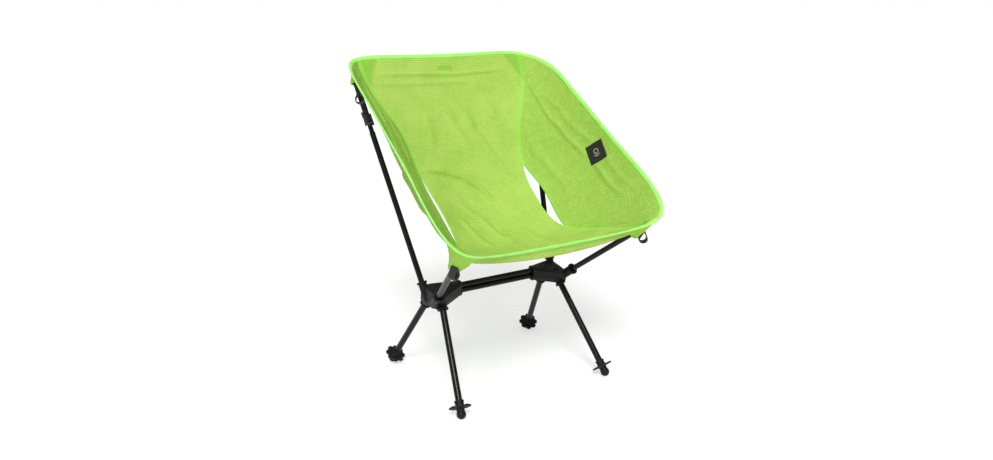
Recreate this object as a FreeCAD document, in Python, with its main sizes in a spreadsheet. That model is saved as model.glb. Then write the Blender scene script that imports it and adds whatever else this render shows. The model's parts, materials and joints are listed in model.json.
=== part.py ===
"""Ultralight folding chair: two moulded hubs on a twin crossbar, four legs, four sling poles and a mesh sling.

Frame: millimetres, +Z up, the sitter looks along -Y, +X is the sitter's left, origin on the floor under the
middle of the chair. Every left-hand piece is the mirror image of its right-hand one in the plane X = 0.
"""
import FreeCAD, Part
import math
import os
import Sketcher
from FreeCAD import Placement, Rotation, Vector

doc = FreeCAD.newDocument("BackpackingChair")

# ---------------------------------------------------------------- driving dimensions
# Each pole or leg is a straight line from the mouth of its hub socket to its far end (right-hand side, X > 0).
DIMENSIONS = {
    "leg_diameter": 13.6,
    "leg_wall": 0.9,
    "pole_diameter": 11.8,
    "pole_wall": 0.65,
    "upper_pole_diameter": 9.9,
    "upper_pole_wall": 0.7,
    "crossbar_diameter": 11.4,
    "crossbar_wall": 0.8,
    "crossbar_half_length": 124.0,
    "crossbar_gap": 0.3,
    "crossbar_y": 5.0,
    "crossbar_height": 202.0,
    "slide_clearance": 0.25,
    "end_gap": 0.3,
    "leg_insertion": 24.0,
    "pole_insertion": 26.0,
    "ferrule_insertion": 36.0,
    "rear_joint_distance": 323.0,
    "cord_diameter": 2.6,
    "cord_hole_diameter": 4.0,
    "cord_reach": 34.0,
    "front_leg_mouth_x": 146.3,
    "front_leg_mouth_y": -27.8,
    "front_leg_mouth_z": 175.0,
    "front_leg_end_x": 176.0,
    "front_leg_end_y": -152.0,
    "front_leg_end_z": 9.1,
    "rear_leg_mouth_x": 146.6,
    "rear_leg_mouth_y": 51.5,
    "rear_leg_mouth_z": 162.0,
    "rear_leg_end_x": 179.5,
    "rear_leg_end_y": 152.0,
    "rear_leg_end_z": 9.1,
    "rear_pole_mouth_x": 160.3,
    "rear_pole_mouth_y": 37.5,
    "rear_pole_mouth_z": 218.4,
    "rear_pole_end_x": 217.2,
    "rear_pole_end_y": 212.4,
    "rear_pole_end_z": 623.5,
    "front_pole_mouth_x": 164.8,
    "front_pole_mouth_y": -45.1,
    "front_pole_mouth_z": 213.4,
    "front_pole_end_x": 212.6,
    "front_pole_end_y": -217.4,
    "front_pole_end_z": 345.0,
    "socket_wall": 2.3,
    "front_pole_socket_wall": 3.6,
    "leg_socket_length": 38.0,
    "rear_pole_socket_length": 42.0,
    "front_pole_socket_length": 54.0,
    "lip_height": 4.5,
    "lip_thickness": 2.4,
    "arm_end_x": 88.0,
    "arm_flange_thickness": 3.5,
    "arm_flange_lip": 1.6,
    "arm_wall": 3.0,
    "core_thickness": 18.0,
    "core_x": 151.0,
    "foot_ball_diameter": 19.0,
    "foot_waist_diameter": 15.6,
    "foot_disc_diameter": 43.0,
    "foot_disc_thickness": 3.6,
    "foot_disc_distance": 14.0,
    "foot_boot_diameter": 17.4,
    "foot_boot_length": 27.0,
    "foot_collar_diameter": 19.2,
    "foot_collar_height": 4.0,
    "foot_floor": 5.0,
    "foot_petals": 8.0,
    "foot_notch_diameter": 10.5,
    "foot_notch_circle": 47.0,
    "cap_diameter": 12.4,
    "front_cap_diameter": 13.4,
    "cap_skirt": 14.0,
    "cap_plug": 8.0,
    "pocket_wall": 1.2,
    "pocket_gap": 0.6,
    "pocket_length": 40.0,
    "fabric_thickness": 1.6,
    "binding_diameter": 6.0,
    "panel_inset": 2.0,
    "binding_gap": 0.3,
    "seam_gap": 1.0,
    "seam_overlap": 0.6,
    "joint_gap": 0.5,
    "keeper_start": 336.0,
    "keeper_length": 33.0,
    "keeper_wall": 4.0,
    "webbing_width": 13.0,
    "webbing_thickness": 1.6,
    "loop_radius": 8.4,
    "loop_length": 16.0,
    "label_length": 46.0,
    "label_width": 42.0,
    "label_thickness": 0.8,
    "label_lift": 1.6,
    "label_turn": -15.0,
    "top_label_length": 38.0,
    "top_label_width": 15.0,
}

sheet = doc.addObject("Spreadsheet::Sheet", "Dimensions")
for row, (alias, value) in enumerate(DIMENSIONS.items(), start=1):
    sheet.set(f"A{row}", alias)
    sheet.set(f"B{row}", str(value))
    sheet.setAlias(f"B{row}", alias)
doc.recompute()

SUBPARTS = []


class Dim:
    """A size as the text of an expression over the sheet, together with its present value."""

    def __init__(self, text, value):
        self.text = text
        self.value = float(value)

    def joined(self, other, sign, result):
        other_text = other.text if isinstance(other, Dim) else repr(other)
        return Dim(f"({self.text} {sign} {other_text})", result)

    def __add__(self, other):
        return self.joined(other, "+", self.value + number(other))

    def __sub__(self, other):
        return self.joined(other, "-", self.value - number(other))

    def __mul__(self, other):
        return self.joined(other, "*", self.value * number(other))

    def __truediv__(self, other):
        return self.joined(other, "/", self.value / number(other))


def number(item):
    """Plain value of a Dim or of a number."""
    return item.value if isinstance(item, Dim) else float(item)


def size(alias):
    """Value of one driving dimension."""
    return float(sheet.get(alias))


def dim(alias):
    """One driving dimension as an expression."""
    return Dim(f"Dimensions.{alias}", size(alias))


def point(name):
    """A named point of the right-hand side, from its three cells."""
    return Vector(size(name + "_x"), size(name + "_y"), size(name + "_z"))


def mirrored(vector):
    return Vector(-vector.x, vector.y, vector.z)


def subpart(label, obj):
    """Give an object the name of its node and put it on the list of sub-parts."""
    obj.Label = label
    SUBPARTS.append(obj)
    return obj


def plain_part(label, shape):
    """A sub-part whose shape is built by Part's own functions."""
    obj = doc.addObject("Part::Feature", label)
    obj.Shape = shape
    return subpart(label, obj)


# ---------------------------------------------------------------- lines of the legs and poles
class Member:
    """One leg or pole: a line from its socket mouth to its far end, mirrored on the left."""

    def __init__(self, name, side):
        self.name = name
        self.label = f"{name}_{'left' if side < 0 else 'right'}"
        self.side = side
        mouth = point(name + "_mouth")
        end = point(name + "_end")
        self.mouth = mirrored(mouth) if side < 0 else mouth
        self.end = mirrored(end) if side < 0 else end
        self.direction = (self.end - self.mouth).normalize()
        squares = [f"(Dimensions.{name}_end_{axis} - Dimensions.{name}_mouth_{axis})^2" for axis in "xyz"]
        self.length = Dim(f"sqrt({' + '.join(squares)})", self.mouth.distanceToPoint(self.end))

    def at(self, distance):
        """Point on the line, so far from the socket mouth."""
        return self.mouth + self.direction * number(distance)

    def frame(self, distance, outward=True):
        """Placement on the line, +Z along it (or back along it) and +X facing away from the chair."""
        z_axis = self.direction if outward else self.direction * -1
        x_axis = Vector(self.side, 0, 0)
        x_axis = (x_axis - z_axis * x_axis.dot(z_axis)).normalize()
        return Placement(self.at(distance), Rotation(x_axis, z_axis.cross(x_axis), z_axis, "ZXY"))


MEMBERS = {}
for member_name in ("front_leg", "rear_leg", "front_pole", "rear_pole"):
    for member_side in (-1, 1):
        member = Member(member_name, member_side)
        MEMBERS[member.label] = member
LEGS = [MEMBERS[name] for name in MEMBERS if "leg" in name]
FRONT_POLES = [MEMBERS[name] for name in MEMBERS if "front_pole" in name]
REAR_POLES = [MEMBERS[name] for name in MEMBERS if "rear_pole" in name]


# ---------------------------------------------------------------- sketches and bodies
def new_sketch(body, role, name):
    """Sketch on one of the body's own origin planes."""
    plane = next(feature for feature in body.Origin.OriginFeatures if feature.Role == role)
    sketch = body.newObject("Sketcher::SketchObject", name)
    sketch.AttachmentSupport = [(plane, "")]
    sketch.MapMode = "FlatFace"
    return sketch


def bound_circle(sketch, radius, offset=None):
    """Circle with its radius bound to the sheet, centred on the origin or so far along the first axis."""
    centre = Vector(number(offset) if offset else 0.0, 0, 0)
    index = sketch.addGeometry(Part.Circle(centre, Vector(0, 0, 1), radius.value), False)
    constraint = sketch.addConstraint(Sketcher.Constraint("Radius", index, radius.value))
    sketch.setExpression(f"Constraints[{constraint}]", radius.text)
    if offset is None:
        sketch.addConstraint(Sketcher.Constraint("Coincident", index, 3, -1, 1))
        return
    sketch.addConstraint(Sketcher.Constraint("PointOnObject", index, 3, -1))
    constraint = sketch.addConstraint(Sketcher.Constraint("DistanceX", -1, 1, index, 3, offset.value))
    sketch.setExpression(f"Constraints[{constraint}]", offset.text)


def bound_profile(sketch, corners):
    """Closed polygon whose corners are pairs of sizes bound to the sheet; a zero lies on the axis."""
    count = len(corners)
    for index in range(count):
        start = [number(value) for value in corners[index]]
        end = [number(value) for value in corners[(index + 1) % count]]
        sketch.addGeometry(Part.LineSegment(Vector(*start, 0), Vector(*end, 0)), False)
    for index in range(count):
        sketch.addConstraint(Sketcher.Constraint("Coincident", index, 2, (index + 1) % count, 1))
    for index, corner in enumerate(corners):
        for value, kind, line in ((corner[0], "DistanceX", -2), (corner[1], "DistanceY", -1)):
            if abs(number(value)) < 1e-9:
                sketch.addConstraint(Sketcher.Constraint("PointOnObject", index, 1, line))
                continue
            constraint = sketch.addConstraint(Sketcher.Constraint(kind, -1, 1, index, 1, number(value)))
            if isinstance(value, Dim):
                sketch.setExpression(f"Constraints[{constraint}]", value.text)


def tube(label, outer_radius, inner_radius, length, placement):
    """Round tube along its own +Z; an inner radius of None makes a solid rod."""
    body = doc.addObject("PartDesign::Body", label)
    sketch = new_sketch(body, "XY_Plane", label + "_section")
    bound_circle(sketch, outer_radius)
    if inner_radius:
        bound_circle(sketch, inner_radius)
    pad = body.newObject("PartDesign::Pad", label + "_pad")
    pad.Profile = sketch
    pad.Length = length.value
    pad.setExpression("Length", length.text)
    doc.recompute()
    body.Placement = placement
    return subpart(label, body)


def turned(label, corners, placement):
    """Body turned about its own Z axis from a profile of (radius, height) corners."""
    body = doc.addObject("PartDesign::Body", label)
    sketch = new_sketch(body, "XZ_Plane", label + "_profile")
    bound_profile(sketch, corners)
    revolution = body.newObject("PartDesign::Revolution", label + "_turn")
    revolution.Profile = sketch
    revolution.ReferenceAxis = (sketch, ["V_Axis"])
    revolution.Angle = 360.0
    doc.recompute()
    body.Placement = placement
    return body


def dome(radius, height, steps=6):
    """Corners of a rounded end of a turned body, from its edge up to its pole on the axis."""
    corners = []
    for step in range(1, steps):
        angle = math.pi / 2 * step / steps
        corners.append((radius * round(math.cos(angle), 6), height + radius * round(math.sin(angle), 6)))
    corners.append((0, height + radius))
    return corners


# ---------------------------------------------------------------- crossbar, legs and poles
def build_crossbar():
    """Two straight tubes, one above the other, from hub to hub."""
    outer = dim("crossbar_diameter") / 2
    inner = outer - dim("crossbar_wall")
    length = dim("crossbar_half_length") * 2
    along_x = Rotation(Vector(0, 0, 1), Vector(1, 0, 0))
    for name, sign in (("upper", 1), ("lower", -1)):
        height = size("crossbar_height") + sign * (size("crossbar_diameter") + size("crossbar_gap")) / 2
        start = Vector(-size("crossbar_half_length"), size("crossbar_y"), height)
        tube(f"crossbar_{name}_tube", outer, inner, length, Placement(start, along_x))


def build_legs():
    """Leg tubes from inside their sockets to the floor of their rubber feet."""
    outer = dim("leg_diameter") / 2
    for leg in LEGS:
        length = leg.length + dim("leg_insertion") - dim("foot_floor")
        tube(leg.label, outer, outer - dim("leg_wall"), length, leg.frame(-size("leg_insertion")))


def build_front_poles():
    outer = dim("pole_diameter") / 2
    for pole in FRONT_POLES:
        length = pole.length + dim("pole_insertion") - dim("front_cap_diameter") / 2
        tube(pole.label, outer, outer - dim("pole_wall"), length, pole.frame(-size("pole_insertion")))


def build_rear_poles():
    """Each rear pole is a lower tube and a thinner upper tube that plugs into it."""
    lower_outer = dim("pole_diameter") / 2
    upper_outer = dim("upper_pole_diameter") / 2
    for pole in REAR_POLES:
        side = pole.label.split("_")[-1]
        length = dim("rear_joint_distance") + dim("pole_insertion")
        start = pole.frame(-size("pole_insertion"))
        tube(f"rear_pole_lower_{side}", lower_outer, lower_outer - dim("pole_wall"), length, start)
        below = dim("rear_joint_distance") - dim("ferrule_insertion")
        length = pole.length - below - dim("cap_diameter") / 2
        start = pole.frame(below.value)
        tube(f"rear_pole_upper_{side}", upper_outer, upper_outer - dim("upper_pole_wall"), length, start)


def build_cap(pole, side_label, diameter, tube_radius, wall):
    """Rounded plastic cap: a skirt over the tube, a plug inside it and a domed tip."""
    radius = diameter / 2
    bore = tube_radius - wall
    skirt = dim("cap_skirt") * -1
    plug = dim("cap_plug") * -1
    corners = [(tube_radius, 0), (tube_radius, skirt), (radius, skirt), (radius, 0)]
    corners += dome(radius, Dim("0", 0))
    corners += [(0, plug), (bore, plug), (bore, 0)]
    cap = turned(f"{side_label}_cap", corners, pole.frame(pole.length - radius))
    subpart(f"{side_label}_cap", cap)


def build_caps():
    for pole in FRONT_POLES:
        build_cap(pole, pole.label, dim("front_cap_diameter"), dim("pole_diameter") / 2, dim("pole_wall"))
    for pole in REAR_POLES:
        build_cap(pole, pole.label, dim("cap_diameter"), dim("upper_pole_diameter") / 2, dim("upper_pole_wall"))


def build_cords():
    """Elastic cords inside the legs and poles, each from its hub to the far end of its tube."""
    radius = dim("cord_diameter") / 2
    reach = dim("cord_reach")
    for leg in LEGS:
        length = leg.length + reach - dim("foot_floor")
        tube(leg.label + "_cord", radius, None, length, leg.frame(-reach.value))
    for pole in FRONT_POLES:
        length = pole.length + reach - dim("front_cap_diameter") / 2 - dim("cap_plug")
        tube(pole.label + "_cord", radius, None, length, pole.frame(-reach.value))
    for pole in REAR_POLES:
        length = pole.length + reach - dim("cap_diameter") / 2 - dim("cap_plug") - dim("ferrule_insertion")
        tube(pole.label + "_cord", radius, None, length, pole.frame(-reach.value))


# ---------------------------------------------------------------- feet
def build_feet():
    """Rubber boots: a ball to stand on, a hollow-sided cone, a petalled disc and a collared sleeve."""
    ball = dim("foot_ball_diameter") / 2
    waist = dim("foot_waist_diameter") / 2
    disc = dim("foot_disc_diameter") / 2
    sleeve = dim("foot_boot_diameter") / 2
    collar = dim("foot_collar_diameter") / 2
    bore = dim("leg_diameter") / 2
    low = dim("foot_disc_distance") - dim("foot_disc_thickness") / 2
    high = dim("foot_disc_distance") + dim("foot_disc_thickness") / 2
    top = dim("foot_boot_length")
    floor = dim("foot_floor")
    profile = []
    for angle in (-90, -65, -40, -15, 10, 30):
        across = round(math.cos(math.radians(angle)), 6)
        up = round(math.sin(math.radians(angle)), 6)
        profile.append((ball * across if angle > -90 else 0, ball * up))
    profile += [(waist, low - 2.6), (waist + 1.6, low - 1.0), (disc, low), (disc + 0.5, low + 1.4), (disc, high)]
    profile += [(sleeve + 1.8, high), (sleeve, high + 1.8), (sleeve, top - dim("foot_collar_height"))]
    profile += [(collar, top - dim("foot_collar_height") + 0.6), (collar, top - 0.8), (collar - 0.8, top)]
    profile += [(bore, top), (bore, floor), (0, floor)]
    for leg in LEGS:
        body = turned(leg.label.replace("leg", "boot"), profile, leg.frame(leg.length.value, outward=False))
        whole = body.Shape.Volume
        sketch = new_sketch(body, "XY_Plane", body.Name + "_notch")
        bound_circle(sketch, dim("foot_notch_diameter") / 2, dim("foot_notch_circle") / 2)
        notch = body.newObject("PartDesign::Pocket", body.Name + "_notch_cut")
        notch.Profile = sketch
        notch.Length = size("foot_boot_length")
        notch.Reversed = True
        pattern = body.newObject("PartDesign::PolarPattern", body.Name + "_petals")
        pattern.Originals = [notch]
        pattern.Axis = (sketch, ["N_Axis"])
        pattern.Angle = 360.0
        pattern.Occurrences = int(size("foot_petals"))
        body.Tip = pattern
        doc.recompute()
        if body.Shape.Volume > whole - 100.0:
            raise RuntimeError(f"{body.Name}: the notches between the petals cut nothing")
        below = doc.addObject("Part::Box", body.Name + "_floor")
        below.Length, below.Width, below.Height = (size("foot_disc_diameter") * 2,) * 3
        half = below.Length.Value / 2
        below.Placement.Base = Vector(leg.end.x - half, leg.end.y - half, -2 * half)
        foot = doc.addObject("Part::Cut", body.Name + "_stood")
        foot.Base = body
        foot.Tool = below
        subpart(leg.label.replace("leg", "foot"), foot)


# ---------------------------------------------------------------- hubs
# Outline of the core between the sockets, as (y, z).
CORE_OUTLINE = ((-25, 178), (37, 169), (46, 179), (43, 203), (30, 214), (-8, 208), (-31, 203), (-29, 190))


def cylinder(name, radius, length, placement):
    """Round Part primitive with its sizes bound to the sheet."""
    obj = doc.addObject("Part::Cylinder", name)
    obj.setExpression("Radius", radius.text)
    obj.setExpression("Height", length.text)
    obj.Placement = placement
    return obj


def polygon(name, x, outline):
    """Closed outline in a plane of constant X."""
    obj = doc.addObject("Part::Polygon", name)
    obj.Nodes = [Vector(x, y, z) for y, z in outline]
    obj.Close = True
    return obj


def loft(name, sections):
    obj = doc.addObject("Part::Loft", name)
    obj.Sections = sections
    obj.Solid = True
    obj.Ruled = True
    return obj


def fused(name, parts):
    obj = doc.addObject("Part::MultiFuse", name)
    obj.Shapes = parts
    return obj


def cut(name, base, tool):
    obj = doc.addObject("Part::Cut", name)
    obj.Base = base
    obj.Tool = tool
    return obj


def arm_outline(grow=0.0):
    """Chamfered block around both crossbar tubes, in the order of the core's corners."""
    middle_y = size("crossbar_y")
    middle_z = size("crossbar_height")
    half_width = size("crossbar_diameter") / 2 + size("arm_wall") + grow
    half_height = size("crossbar_diameter") + size("arm_wall") + size("crossbar_gap") / 2 + grow
    chamfer = half_width / 2
    flat = half_width - chamfer
    upright = half_height - chamfer
    steps = ((-flat, -half_height), (flat, -half_height), (half_width, -upright), (half_width, upright),
             (flat, half_height), (-flat, half_height), (-half_width, upright), (-half_width, -upright))
    return [(middle_y + across, middle_z + up) for across, up in steps]


def socket_parts(member, wall, socket_length):
    """Outer cylinder and mouth lip of one socket."""
    tube_diameter = dim("leg_diameter") if "leg" in member.name else dim("pole_diameter")
    outer = tube_diameter / 2 + dim("slide_clearance") + wall
    barrel = cylinder(member.name + "_barrel", outer, socket_length, member.frame(-socket_length.value))
    lip_start = -size("lip_height")
    lip = cylinder(member.name + "_lip", outer + dim("lip_thickness"), dim("lip_height"),
                   member.frame(lip_start))
    return [barrel, lip], outer


def socket_bores(member, insertion):
    """Clearance bore for the tube and the smaller hole for its cord."""
    tube_diameter = dim("leg_diameter") if "leg" in member.name else dim("pole_diameter")
    depth = insertion + dim("end_gap")
    bore = cylinder(member.name + "_bore", tube_diameter / 2 + dim("slide_clearance"), depth + 1.0,
                    member.frame(-depth.value))
    reach = dim("cord_reach") + 1.0
    hole = cylinder(member.name + "_cord_hole", dim("cord_hole_diameter") / 2, reach,
                    member.frame(-reach.value))
    return [bore, hole]


def build_hubs():
    """Four lipped sockets around a gusseted core, with a tapering arm over the ends of the crossbar."""
    kinds = (("front_leg", dim("socket_wall"), dim("leg_socket_length"), dim("leg_insertion")),
             ("rear_leg", dim("socket_wall"), dim("leg_socket_length"), dim("leg_insertion")),
             ("rear_pole", dim("socket_wall"), dim("rear_pole_socket_length"), dim("pole_insertion")),
             ("front_pole", dim("front_pole_socket_wall"), dim("front_pole_socket_length"),
              dim("pole_insertion")))
    solids = []
    holes = []
    for name, wall, socket_length, insertion in kinds:
        member = MEMBERS[name + "_right"]
        parts, outer = socket_parts(member, wall, socket_length)
        solids += parts
        holes += socket_bores(member, insertion)
        if name == "front_pole":
            dome_end = doc.addObject("Part::Sphere", "front_pole_dome")
            dome_end.setExpression("Radius", outer.text)
            dome_end.Placement = member.frame(-socket_length.value)
            solids.append(dome_end)
    half = size("core_thickness") / 2
    outer_face = polygon("core_outer", size("core_x") + half, CORE_OUTLINE)
    inner_face = polygon("core_inner", size("core_x") - half, CORE_OUTLINE)
    arm_end = polygon("arm_end", size("arm_end_x"), arm_outline())
    solids.append(loft("core", [outer_face, inner_face]))
    solids.append(loft("arm", [inner_face, arm_end]))
    flange = [polygon(f"arm_flange_{index}", size("arm_end_x") + shift, arm_outline(size("arm_flange_lip")))
              for index, shift in enumerate((0.0, size("arm_flange_thickness")))]
    solids.append(loft("arm_flange", flange))
    along_x = Rotation(Vector(0, 0, 1), Vector(1, 0, 0))
    for name, sign in (("upper", 1), ("lower", -1)):
        height = size("crossbar_height") + sign * (size("crossbar_diameter") + size("crossbar_gap")) / 2
        start = Vector(size("arm_end_x") - 1, size("crossbar_y"), height)
        length = dim("crossbar_half_length") - dim("arm_end_x") + 1.0 + dim("end_gap")
        holes.append(cylinder(f"crossbar_{name}_bore", dim("crossbar_diameter") / 2 + 0.1, length,
                              Placement(start, along_x)))
    right = cut("hub_right", fused("hub_solid", solids), fused("hub_holes", holes))
    subpart("hub_right", right)
    left = doc.addObject("Part::Mirroring", "hub_left")
    left.Source = right
    left.Normal = Vector(1, 0, 0)
    subpart("hub_left", left)


# ---------------------------------------------------------------- sling
# Poles of the right half of the rim, from the middle of the top edge round both corners to the middle of the
# front edge.
RIM_POLES = ((0, 232, 658), (76, 232, 658), (148, 233, 662), (216, 241, 657), (246, 161, 637), (243, 83, 588),
             (245, -1, 535), (244, -89, 480), (253, -178, 425), (241, -257, 364), (165, -227, 342),
             (84, -210, 334), (0, -210, 334))
# Cross sections of the sling from the top edge to the front edge: the middle of the centre panel as (y, z),
# the centre panel's right-hand edge and the side panel's inner edge. The two edges part at the slit.
CENTRE_LINE = ((232, 656), (205, 596), (158, 508), (108, 411), (50, 336), (-42, 300), (-130, 303), (-190, 314),
               (-210, 332))
CENTRE_EDGE = ((201, 231, 654), (190, 195, 597), (146, 145, 510), (127, 98, 424), (117, 27, 362),
               (129, -57, 318), (163, -140, 326), (190, -204, 340), (205, -236, 354))
SIDE_EDGE = ((201, 231, 654), (190, 195, 597), (146, 145, 510), (127, 98, 424), (132, 19, 374),
             (129, -57, 318), (163, -140, 326), (190, -204, 340), (205, -236, 354))
# Where the outer edge of the side panel leaves the rim at each cross section, as a share of the half rim.
SIDE_SHARES = (0.225, 0.33, 0.42, 0.50, 0.56, 0.63, 0.71, 0.765, 0.81)
SIDE_BULGE = (1, 5, 9, 13, 15, 14, 8, -3, -5)
SIDE_OUTWARD = Vector(0.79, 0.34, -0.51)


def rim_curve():
    curve = Part.BSplineCurve()
    curve.buildFromPoles([Vector(*pole) for pole in RIM_POLES], False, 3)
    return curve


RIM = rim_curve()


def hung_surface(rows):
    """Smooth surface through cross sections that are parabolas, each given by its three Bezier points."""
    steps = [Vector(*a).distanceToPoint(Vector(*b)) for a, b in zip(CENTRE_EDGE, CENTRE_EDGE[1:])]
    shares = [sum(steps[:index]) / sum(steps) for index in range(len(rows))]
    columns = []
    for column in range(3):
        curve = Part.BSplineCurve()
        curve.interpolate(Points=[row[column] for row in rows], Parameters=shares)
        columns.append(curve)
    poles = [list(row) for row in zip(*(curve.getPoles() for curve in columns))]
    surface = Part.BSplineSurface()
    surface.buildFromPolesMultsKnots(poles, columns[0].getMultiplicities(), [3, 3], columns[0].getKnots(),
                                     [0.0, 1.0], False, False, 3, 2)
    return surface


def centre_surface():
    """The centre panel: every cross section hangs between its two seams."""
    rows = []
    for (y, z), edge in zip(CENTRE_LINE, CENTRE_EDGE):
        right = Vector(*edge)
        low = Vector(0, 2 * y - right.y, 2 * z - right.z)
        rows.append((mirrored(right), low, right))
    return hung_surface(rows)


def side_surface(gap):
    """The right side panel: it swells outwards between the rim and a seam that it stops short of by a gap."""
    rows = []
    for edge, rim_share, bulge in zip(SIDE_EDGE, SIDE_SHARES, SIDE_BULGE):
        rim = RIM.value(rim_share)
        across = (Vector(*edge) - rim).normalize()
        inner = Vector(*edge) - across * gap
        outer = rim + (across + SIDE_OUTWARD * 0.35).normalize() * size("panel_inset")
        rows.append((inner, (inner + outer) / 2 + SIDE_OUTWARD * bulge * 2, outer))
    return hung_surface(rows)


def thick(surface, below):
    """Closed solid of the fabric's thickness on the side of the surface that looks towards a direction."""
    face = surface.toShape()
    u_low, u_high, v_low, v_high = surface.bounds()
    normal = surface.normal((u_low + u_high) / 2, (v_low + v_high) / 2)
    sign = 1.0 if normal.dot(below) > 0 else -1.0
    shell = face.makeOffsetShape(sign * size("fabric_thickness"), 0.01, fill=True)
    return shell.Solids[0] if shell.Solids else Part.Solid(shell)


class Corner:
    """One corner of the sling: the plane that parts it from the panels and the pole that carries it."""

    def __init__(self, name, side, first_share, last_share, inward):
        self.side = side
        self.pole = MEMBERS[f"{name}_pole_{'left' if side < 0 else 'right'}"]
        self.label = f"{name}_{'left' if side < 0 else 'right'}"
        self.shares = (first_share, last_share)
        start = RIM.value(first_share)
        end = RIM.value(last_share)
        normal = (end - start).cross(inward).normalize()
        outward = RIM.value((first_share + last_share) / 2) - start
        if normal.dot(outward) < 0:
            normal = normal * -1
        self.start = start if side > 0 else mirrored(start)
        self.normal = normal if side > 0 else mirrored(normal)

    def block(self, gap):
        """Large box that fills the corner's side of its plane, moved outwards by a gap."""
        half = 200.0
        turn = Rotation(Vector(0, 0, 1), self.normal)
        box = Part.makeBox(2 * half, 2 * half, half)
        box.translate(Vector(-half, -half, gap))
        box.Placement = Placement(self.start, turn).multiply(box.Placement)
        return box


REAR_SHARES = (0.145, 0.325)
FRONT_SHARES = (0.735, 0.885)
CORNERS = []
for corner_side in (-1, 1):
    CORNERS.append(Corner("rear", corner_side, *REAR_SHARES, Vector(-0.35, -0.65, 0.53)))
    CORNERS.append(Corner("front", corner_side, *FRONT_SHARES, Vector(-0.45, 0.35, 0.82)))


def mirror_x(shape):
    return shape.mirror(Vector(0, 0, 0), Vector(1, 0, 0))


def binding_piece(first_share, last_share, gap=0.0):
    """Round edge binding along a stretch of the half rim, grown by a gap."""
    path = Part.Wire([Part.Edge(RIM.copy(), first_share, last_share)])
    start = RIM.value(first_share)
    tangent = RIM.tangent(first_share)[0]
    ring = Part.Wire([Part.makeCircle(size("binding_diameter") / 2 + gap, start, tangent)])
    return path.makePipeShell([ring], True, False)


def largest(shape):
    return max(shape.Solids, key=lambda solid: solid.Volume)


def build_sling():
    """Centre panel, side panels, reinforced corners and the binding round the edge."""
    outside = Vector(1, 0.3, -0.5)
    groove = binding_piece(0.0, 1.0, size("binding_gap"))
    groove = Part.makeCompound([groove, mirror_x(groove)])
    centre = largest(thick(centre_surface(), Vector(0, 0.6, -1)).cut(groove))
    side = largest(thick(side_surface(size("seam_gap")), outside).cut(groove).cut(centre))
    sewn = thick(side_surface(-size("seam_overlap")), outside)
    blocks = {corner: corner.block(0.0) for corner in CORNERS}
    plain_part("centre_panel", largest(centre.cut(Part.makeCompound(list(blocks.values())))))
    own = [mirror_x(block) for corner, block in blocks.items() if corner.side < 0]
    panel = largest(side.cut(Part.makeCompound(own)))
    plain_part("side_panel_right", panel)
    plain_part("side_panel_left", mirror_x(panel))
    whole = thick(centre_surface(), Vector(0, 0.6, -1)).fuse(sewn).cut(groove)
    for corner in CORNERS:
        if corner.side < 0:
            continue
        patch = largest(whole.common(corner.block(size("joint_gap"))))
        plain_part(f"corner_patch_{corner.label}", patch)
        plain_part(f"corner_patch_{corner.label.replace('right', 'left')}", mirror_x(patch))
    build_binding()


def build_binding():
    """Edge binding: top, front and two sides on the panels, and an arc round each corner."""
    reach = size("joint_gap") / RIM.length()
    top = binding_piece(0.0, REAR_SHARES[0] - reach)
    front = binding_piece(FRONT_SHARES[1] + reach, 1.0)
    plain_part("binding_top", top.fuse(mirror_x(top)).removeSplitter())
    plain_part("binding_front", front.fuse(mirror_x(front)).removeSplitter())
    side = binding_piece(REAR_SHARES[1] + reach, FRONT_SHARES[0] - reach)
    plain_part("binding_right", side)
    plain_part("binding_left", mirror_x(side))
    for corner in CORNERS:
        arc = binding_piece(*corner.shares)
        plain_part(f"binding_corner_{corner.label}", arc if corner.side > 0 else mirror_x(arc))


# ---------------------------------------------------------------- pockets, webbing and labels
def build_pockets():
    """Fabric pockets that the capped pole tips push into, open towards the hub."""
    for corner in CORNERS:
        pole = corner.pole
        cap = dim("front_cap_diameter") if "front" in corner.label else dim("cap_diameter")
        inner = cap / 2 + dim("pocket_gap")
        outer = inner + dim("pocket_wall")
        mouth = dim("pocket_length") * -1
        corners = [(inner, 0), (inner, mouth), (outer, mouth), (outer, 0)]
        corners += dome(outer, Dim("0", 0))
        corners += list(reversed(dome(inner, Dim("0", 0))))
        pocket = turned(f"corner_pocket_{corner.label}", corners, pole.frame(pole.length.value - cap.value / 2))
        subpart(f"corner_pocket_{corner.label}", pocket)


def strap_ring(radius, length, width, thickness):
    """Flat webbing loop in the XY plane: a round end and two sides that meet at a point, width along Z."""
    def outline(grow):
        arc_radius = radius + grow
        apex = Vector(0, length + grow * length / radius, 0)
        turn = math.acos(arc_radius / apex.y)
        right_touch = Vector(arc_radius * math.sin(turn), arc_radius * math.cos(turn), 0)
        left_touch = Vector(-right_touch.x, right_touch.y, 0)
        bottom = Vector(0, -arc_radius, 0)
        edges = [Part.LineSegment(apex, right_touch).toShape(),
                 Part.Arc(right_touch, bottom, left_touch).toShape(),
                 Part.LineSegment(left_touch, apex).toShape()]
        return Part.Face(Part.Wire(edges))
    ring = outline(0.0).cut(outline(-thickness))
    solid = ring.extrude(Vector(0, 0, width))
    solid.translate(Vector(0, 0, -width / 2))
    return solid


def loop_placement(side, centre, up, across):
    """Placement of a strap ring: its point towards `up`, its width along `across`, mirrored on the left."""
    if side < 0:
        centre, up, across = mirrored(centre), mirrored(up), mirrored(across)
    across = (across - up * across.dot(up)).normalize()
    return Placement(centre, Rotation(up.cross(across), up, across, "ZXY"))


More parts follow.
